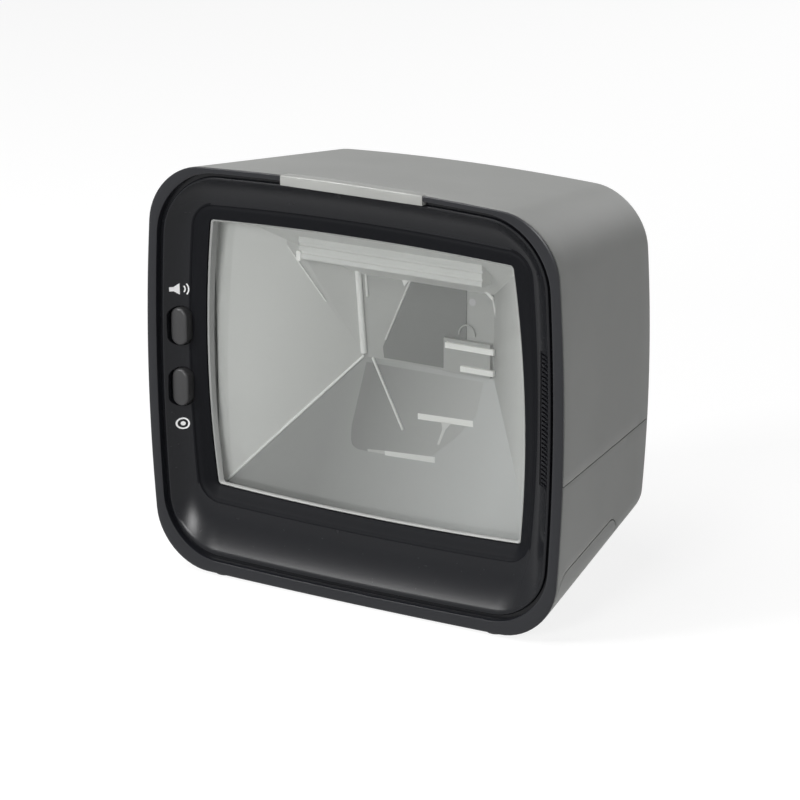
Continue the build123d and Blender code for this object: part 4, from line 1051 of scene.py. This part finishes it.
def grown(bm, verts, step):
    """Closes a face through some vertices and extrudes it by a step."""
    face = bm.faces.new(verts)
    moved = vertices(bmesh.ops.extrude_face_region(bm, geom=[face], use_keep_orig=True)["geom"])
    bmesh.ops.translate(bm, vec=step, verts=moved)
    bmesh.ops.recalc_face_normals(bm, faces=bm.faces)
    return bm


def plate(corners, behind):
    """A thin plate, as a bmesh: its shown corners and the step to its back."""
    bm = bmesh.new()
    return grown(bm, [bm.verts.new(at(*corner)) for corner in corners], Vector(behind) * MM)


def rod(start, end, radius):
    """A round rod between two points, as a bmesh."""
    near, far = at(*start), at(*end)
    turned = (far - near).to_track_quat("Z", "Y").to_matrix().to_4x4()
    bm = bmesh.new()
    bmesh.ops.create_cone(bm, cap_ends=True, segments=18, radius1=radius * MM, radius2=radius * MM,
                          depth=(far - near).length, matrix=Matrix.Translation((near + far) / 2) @ turned)
    return bm


# The chamber's floor: its depth and height at the glass, and its rise and run to the rear wall
FLOOR_FOOT = (13.9, 25.6)
FLOOR_RISE = (42.2, 29.6)
# The floor's normal, as steps in depth and height
FLOOR_NORMAL = (0.82, 0.57)


def painted_floor_patch(points, rise=0.2):
    """A thin patch of painted light and shade on the chamber's floor through points (x, depth), as a bmesh.
    """
    ahead, up = (share * rise for share in FLOOR_NORMAL)
    foot_depth, foot = FLOOR_FOOT
    rise_up, run = FLOOR_RISE
    corners = [(x, depth - ahead, foot + (depth - foot_depth) * rise_up / run + up) for x, depth in points]
    return plate(corners, (0, ahead + 0.08, -up - 0.06))


def ridged_diffuser():
    """The hanging diffuser with its moulded ridges, as a bmesh."""
    low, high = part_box("hanging_diffuser")
    ridge, rise = 0.5 * MM, high.z - low.z
    steps = [(high.y, high.z), (low.y + ridge, high.z)]
    for share, sunk in ((0.92, 0), (0.74, 0), (0.70, 1), (0.62, 1), (0.58, 0), (0.40, 0), (0.36, 1),
                        (0.28, 1), (0.24, 0), (0.07, 0)):
        steps.append((low.y + sunk * ridge, low.z + rise * share))
    steps += [(low.y + ridge, low.z), (high.y, low.z)]
    bm = bmesh.new()
    return grown(bm, [bm.verts.new((low.x, y, z)) for y, z in steps], (high.x - low.x, 0, 0))


def glint_block():
    """A glowing block at the diffuser's lower left end, a painted highlight, as a bmesh."""
    across, depths, heights = ((start * MM, end * MM)
                               for start, end in ((-34.2, -32.6), (24.1, 26), (102.4, 105.6)))
    return box_mesh(across, depths, heights, 0.4 * MM, 1, 4)


def arch():
    """The pale arch in front of the camera's port, as a bmesh."""
    points = [(17.6 + 2.9 * math.cos(angle), 42.9, 80.6 + 3.4 * math.sin(angle))
              for angle in (math.pi * step / 10 for step in range(11))]
    bm = bmesh.new()
    for start, end in zip(points, points[1:]):
        add_part(bm, rod(start, end, 0.3))
    return bm


# The chamber's pieces, with places and sizes in mm: name, finish, slot, shape and what it takes.
# A name after a comma is the node that the piece stands for.
CHAMBER_PIECES = (
    ("left_panel,left_mirror", "side_wall", "chamber", plate,
     [(-58.1, 13.9, 25.3), (-58.1, 13.9, 119), (-40.3, 28.1, 112), (-40.3, 28.1, 106), (-21.1, 43.4, 67.5)],
     (-0.5, 0.6, 0)),
    # The left fold takes the chamber's colour darkened as painted shade
    ("left_fold", "fold", "chamber", plate,
     [(-40.3, 28.1, 112), (-24.4, 43.4, 100), (-21.1, 43.4, 67.5), (-40.3, 28.1, 106)], (-0.5, 0.6, 0)),
    ("floor_panel,floor_mirror", "mirror", "mirror", plate,
     [(-58.1, 13.9, 25.6), (-21, 43.4, 67.7), (27.9, 43.4, 67.7), (58.1, 13.9, 25.6)], (0, 0.66, -0.46)),
    ("floor_rail", "rail", "chamber", rod, (-57.6, 14.2, 26.2), (-21, 43.0, 68.0), 0.45),
    ("corner_post", "rail", "chamber", rod, (-22.9, 42.8, 97.3), (-20.8, 42.8, 69.0), 1.05),
    ("corner_bead", "chamber", "chamber", rod, (-20.3, 43.2, 97.3), (-19.6, 43.2, 88.0), 0.45),
    ("wall_bead", "rail", "chamber", rod, (-40.0, 28.1, 105.4), (-30.5, 35.7, 86.6), 0.28),
    # A painted dark patch on the floor mirror
    ("floor_shade", "floor_shade", "mirror", painted_floor_patch,
     [(-19.6, 42.4), (-17.6, 30.0), (-16.3, 27.4), (-15.2, 26.4), (-13.2, 25.8), (-7.3, 25.7), (13.5, 26.8),
      (20, 31), (25, 36), (24, 42.4)], 0.1),
    # Painted reflections of the light bars on the floor mirror
    ("floor_strip_rear", "strip", "light_bar", painted_floor_patch,
     [(4.5, 34.5), (24.5, 34.9), (25.2, 33.8), (5.2, 33.4)]),
    ("floor_strip_front", "rail", "light_bar", painted_floor_patch,
     [(-3.0, 26.4), (15.3, 27.0), (15.9, 25.9), (-2.3, 25.6)]),
    ("floor_stem", "chamber", "light_bar", painted_floor_patch,
     [(13.6, 33.7), (17.4, 33.8), (16.0, 32.4), (15.5, 29.4), (14.7, 29.4), (14.9, 32.4)]),
    ("floor_strip_end", "fold", "light_bar", painted_floor_patch,
     [(-9.2, 26.1), (-3.0, 26.4), (-2.3, 25.8), (-8.8, 25.7)]),
    ("floor_bead", "rail", "chamber", rod, (-17.6, 43.0, 67.8), (1.2, 30.7, 49.9), 0.42),
    ("ridged_diffuser,hanging_diffuser", "chamber", "light_bar", ridged_diffuser),
    # A painted highlight at the diffuser's lower left end
    ("diffuser_clip", "strip", "light_bar", glint_block),
    ("corner_bow", "rail", "chamber", rod, (23.6, 42.6, 97.0), (27.2, 42.6, 94.0), 0.55),
    ("corner_stay", "chamber", "chamber", rod, (27.2, 42.6, 94.0), (28.3, 42.6, 88.5), 0.35),
    ("port_shade", "port", "dark_plastic", plate,
     [(-2.6, 43.2, 96.2), (17.2, 43.2, 96.2), (17.2, 43.2, 68.4), (-13.4, 43.2, 68.4), (-13.9, 43.2, 72.0)],
     (0, 0.25, 0)),
    ("port_cheek", "rear_wall", "chamber", plate,
     [(-15.6, 43.3, 97.2), (-1.6, 43.3, 97.2), (-13.2, 43.3, 71.0), (-15.6, 43.3, 71.0)], (0, 0.15, 0)),
    ("port_bead", "chamber", "chamber", rod, (-3.4, 43.1, 95.6), (-12.8, 43.1, 74.6), 0.3),
    ("port_patch", "rail", "chamber", plate,
     [(-7.4, 42.9, 97.4), (-2.6, 42.9, 97.2), (-5.6, 42.9, 93.4)], (0, 0.25, 0)),
    ("port_arch", "rear_wall", "chamber", arch),
)


class SCANNER_OT_chamber(bpy.types.Operator):
    """Builds the chamber's left wall and floor, its rails, its diffuser and the port's shade"""

    bl_idname = "scanner.chamber"
    bl_label = "Chamber"

    def execute(self, context):
        for names, finish, slot, shape, *values in CHAMBER_PIECES:
            name, *nodes = names.split(",")
            finish_piece(name, shape(*values), finish, nodes)
        return {"FINISHED"}


NODE_FINISHES = {
    "rear_wall": ["optics_chassis", "bar_board"],
    "rail": ["diffuser_board"],
    # The right mirror takes the painted shade
    "right_wall": ["right_mirror"],
    "chamber": ["left_mirror", "top_reflector"],
    "mirror": ["floor_mirror"],
    "strip": ["hanging_diffuser", "upper_light_bar", "lower_light_bar"],
    "glass": ["camera_lens"],
    "board": ["indicator_board", "button_board", "camera_board", "main_board", "interface_board"],
    "dark": ["camera_barrel", "speaker", "board_chips", "host_socket", "aux_socket", "power_socket",
             "link_headers", "volume_switch", "tone_switch", "volume_plunger", "tone_plunger", "link_ribbon"],
    "port": ["camera_bracket"],
    "steel": ["board_shield", "indicator_screws", "button_screws", "chassis_screws", "bracket_screws",
              "camera_screws", "main_screws", "interface_screws", "shell_screws", "base_screws"],
    "brass": ["mount_inserts"],
    "rubber": ["front_feet", "rear_feet", "speaker_duct"],
}


class SCANNER_OT_inner(bpy.types.Operator):
    """Gives the frame's own pieces their finishes"""

    bl_idname = "scanner.inner"
    bl_label = "Inner pieces"

    def execute(self, context):
        for finish, names in NODE_FINISHES.items():
            for name in names:
                paint(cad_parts[name], finish)
        return {"FINISHED"}


# ---------------------------------------------------------------- stage
# Square soft lamps, in metres and watts: place, height aimed at, width and power
LAMPS = {
    "top_softbox": ((-0.25, -0.3, 1.1), 0.08, 0.8, 6.0),
    "front_softbox": ((0.12, -1.25, 0.5), 0.07, 0.3, 6.5),
    "left_softbox": ((-0.61, -0.87, 0.7), 0.07, 0.25, 6.5),
    "right_softbox": ((1.0, -0.7, 0.3), 0.06, 0.3, 0.4),
    "back_softbox": ((0.1, 1.15, 0.5), 0.07, 0.6, 2.6),
}
# The floor's grey as light bounces off it, its grey as the camera sees it, and its glow
FLOOR_BOUNCE = 0.8
FLOOR_GREY = 0.25
FLOOR_GLOW = 0.84
# The world's strength for the rays that light, that mirror and that come from the camera
WORLD_LEVELS = (("", 0.06), ("Is Glossy Ray", 0.6), ("Is Camera Ray", 1.0))


class SCANNER_OT_stage(bpy.types.Operator):
    """Sets up the pale floor, the lamps, the world and the camera"""

    bl_idname = "scanner.stage"
    bl_label = "Stage"

    def execute(self, context):
        scene = context.scene
        scene.view_settings.view_transform = "Standard"
        self.floor()
        self.world(scene)
        for name, (place, aimed_at, width, power) in LAMPS.items():
            data = bpy.data.lights.new(name, "AREA")
            data.size = width
            data.energy = power
            lamp = bpy.data.objects.new(name, data)
            lamp.location = place
            line = Vector((0, 0, aimed_at)) - Vector(place)
            lamp.rotation_euler = line.to_track_quat("-Z", "Y").to_euler()
            scene.collection.objects.link(lamp)
        self.camera(scene)
        return {"FINISHED"}

    def floor(self):
        """A wide white floor that keeps a soft shadow."""
        bm = bmesh.new()
        bmesh.ops.create_grid(bm, x_segments=1, y_segments=1, size=6.0)
        floor = loose("floor", bm)
        material = bpy.data.materials.new("white_floor")
        tree = emptied(material)
        path = add_node(tree, "LightPath")
        dull, shaded = (add_node(tree, "BsdfDiffuse", Color=(grey, grey, grey, 1)).outputs["BSDF"]
                        for grey in (FLOOR_BOUNCE, FLOOR_GREY))
        glow = add_node(tree, "Emission", Strength=FLOOR_GLOW).outputs["Emission"]
        seen = add_node(tree, "AddShader")
        tree.links.new(shaded, seen.inputs[0])
        tree.links.new(glow, seen.inputs[1])
        shown = mix(tree, path.outputs["Is Glossy Ray"], dull, glow)
        shown = mix(tree, path.outputs["Is Camera Ray"], shown, seen.outputs["Shader"])
        output = add_node(tree, "OutputMaterial")
        tree.links.new(shown, output.inputs["Surface"])
        floor.data.materials.append(material)

    def world(self, scene):
        """A plain grey world that looks white behind the object."""
        world = bpy.data.worlds.new("studio")
        scene.world = world
        tree = emptied(world)
        path = add_node(tree, "LightPath")
        shown = None
        for ray, strength in WORLD_LEVELS:
            level = add_node(tree, "Background", Color=(1, 1, 1, 1), Strength=strength).outputs[0]
            shown = mix(tree, path.outputs[ray], shown, level) if ray else level
        output = add_node(tree, "OutputWorld")
        tree.links.new(shown, output.inputs["Surface"])

    def camera(self, scene):
        """The camera, at the settings' place."""
        view = settings("camera")
        data = bpy.data.cameras.new("view")
        data.lens = view.lens
        data.sensor_width = 36.0
        camera = bpy.data.objects.new("view", data)
        level = math.cos(view.elevation)
        back = Vector((math.sin(view.azimuth) * level, -math.cos(view.azimuth) * level,
                       math.sin(view.elevation)))
        turned = back.to_track_quat("Z", "Y").to_matrix() @ Matrix.Rotation(view.roll, 3, "Z")
        camera.matrix_world = Matrix.Translation(Vector(view.aim) + back * view.distance) @ turned.to_4x4()
        scene.collection.objects.link(camera)
        scene.camera = camera


OPERATORS = (
    SCANNER_OT_stage,
    SCANNER_OT_inner,
    SCANNER_OT_housing,
    SCANNER_OT_bezel,
    SCANNER_OT_grille,
    SCANNER_OT_window,
    SCANNER_OT_light_bar,
    SCANNER_OT_buttons,
    SCANNER_OT_signs,
    SCANNER_OT_chamber,
)
SETTINGS = {
    "scanner_housing": SCANNER_PG_housing,
    "scanner_bezel": SCANNER_PG_bezel,
    "scanner_finish": SCANNER_PG_finish,
    "scanner_camera": SCANNER_PG_camera,
}


class SCANNER_PT_panel(bpy.types.Panel):
    """Lists the scanner's settings and build steps."""

    bl_label = "Scanner"
    bl_idname = "SCANNER_PT_panel"
    bl_space_type = "VIEW_3D"
    bl_region_type = "UI"
    bl_category = "Scanner"

    def draw(self, context):
        for name, group in SETTINGS.items():
            for key in group.__annotations__:
                self.layout.prop(getattr(context.scene, name), key)
        for operator in OPERATORS:
            self.layout.operator(operator.bl_idname)


def register():
    """Registers the settings, the operators and the panel."""
    for name, group in SETTINGS.items():
        bpy.utils.register_class(group)
        setattr(bpy.types.Scene, name, PointerProperty(type=group))
    for operator in OPERATORS:
        bpy.utils.register_class(operator)
    bpy.utils.register_class(SCANNER_PT_panel)


def unregister():
    """Removes them again."""
    bpy.utils.unregister_class(SCANNER_PT_panel)
    for operator in reversed(OPERATORS):
        bpy.utils.unregister_class(operator)
    for name, group in reversed(SETTINGS.items()):
        delattr(bpy.types.Scene, name)
        bpy.utils.unregister_class(group)


def main():
    """Builds everything in order."""
    register()
    make_finishes()
    for operator in OPERATORS:
        getattr(bpy.ops.scanner, operator.bl_idname.split(".")[1])()


if __name__ == "__main__":
    main()
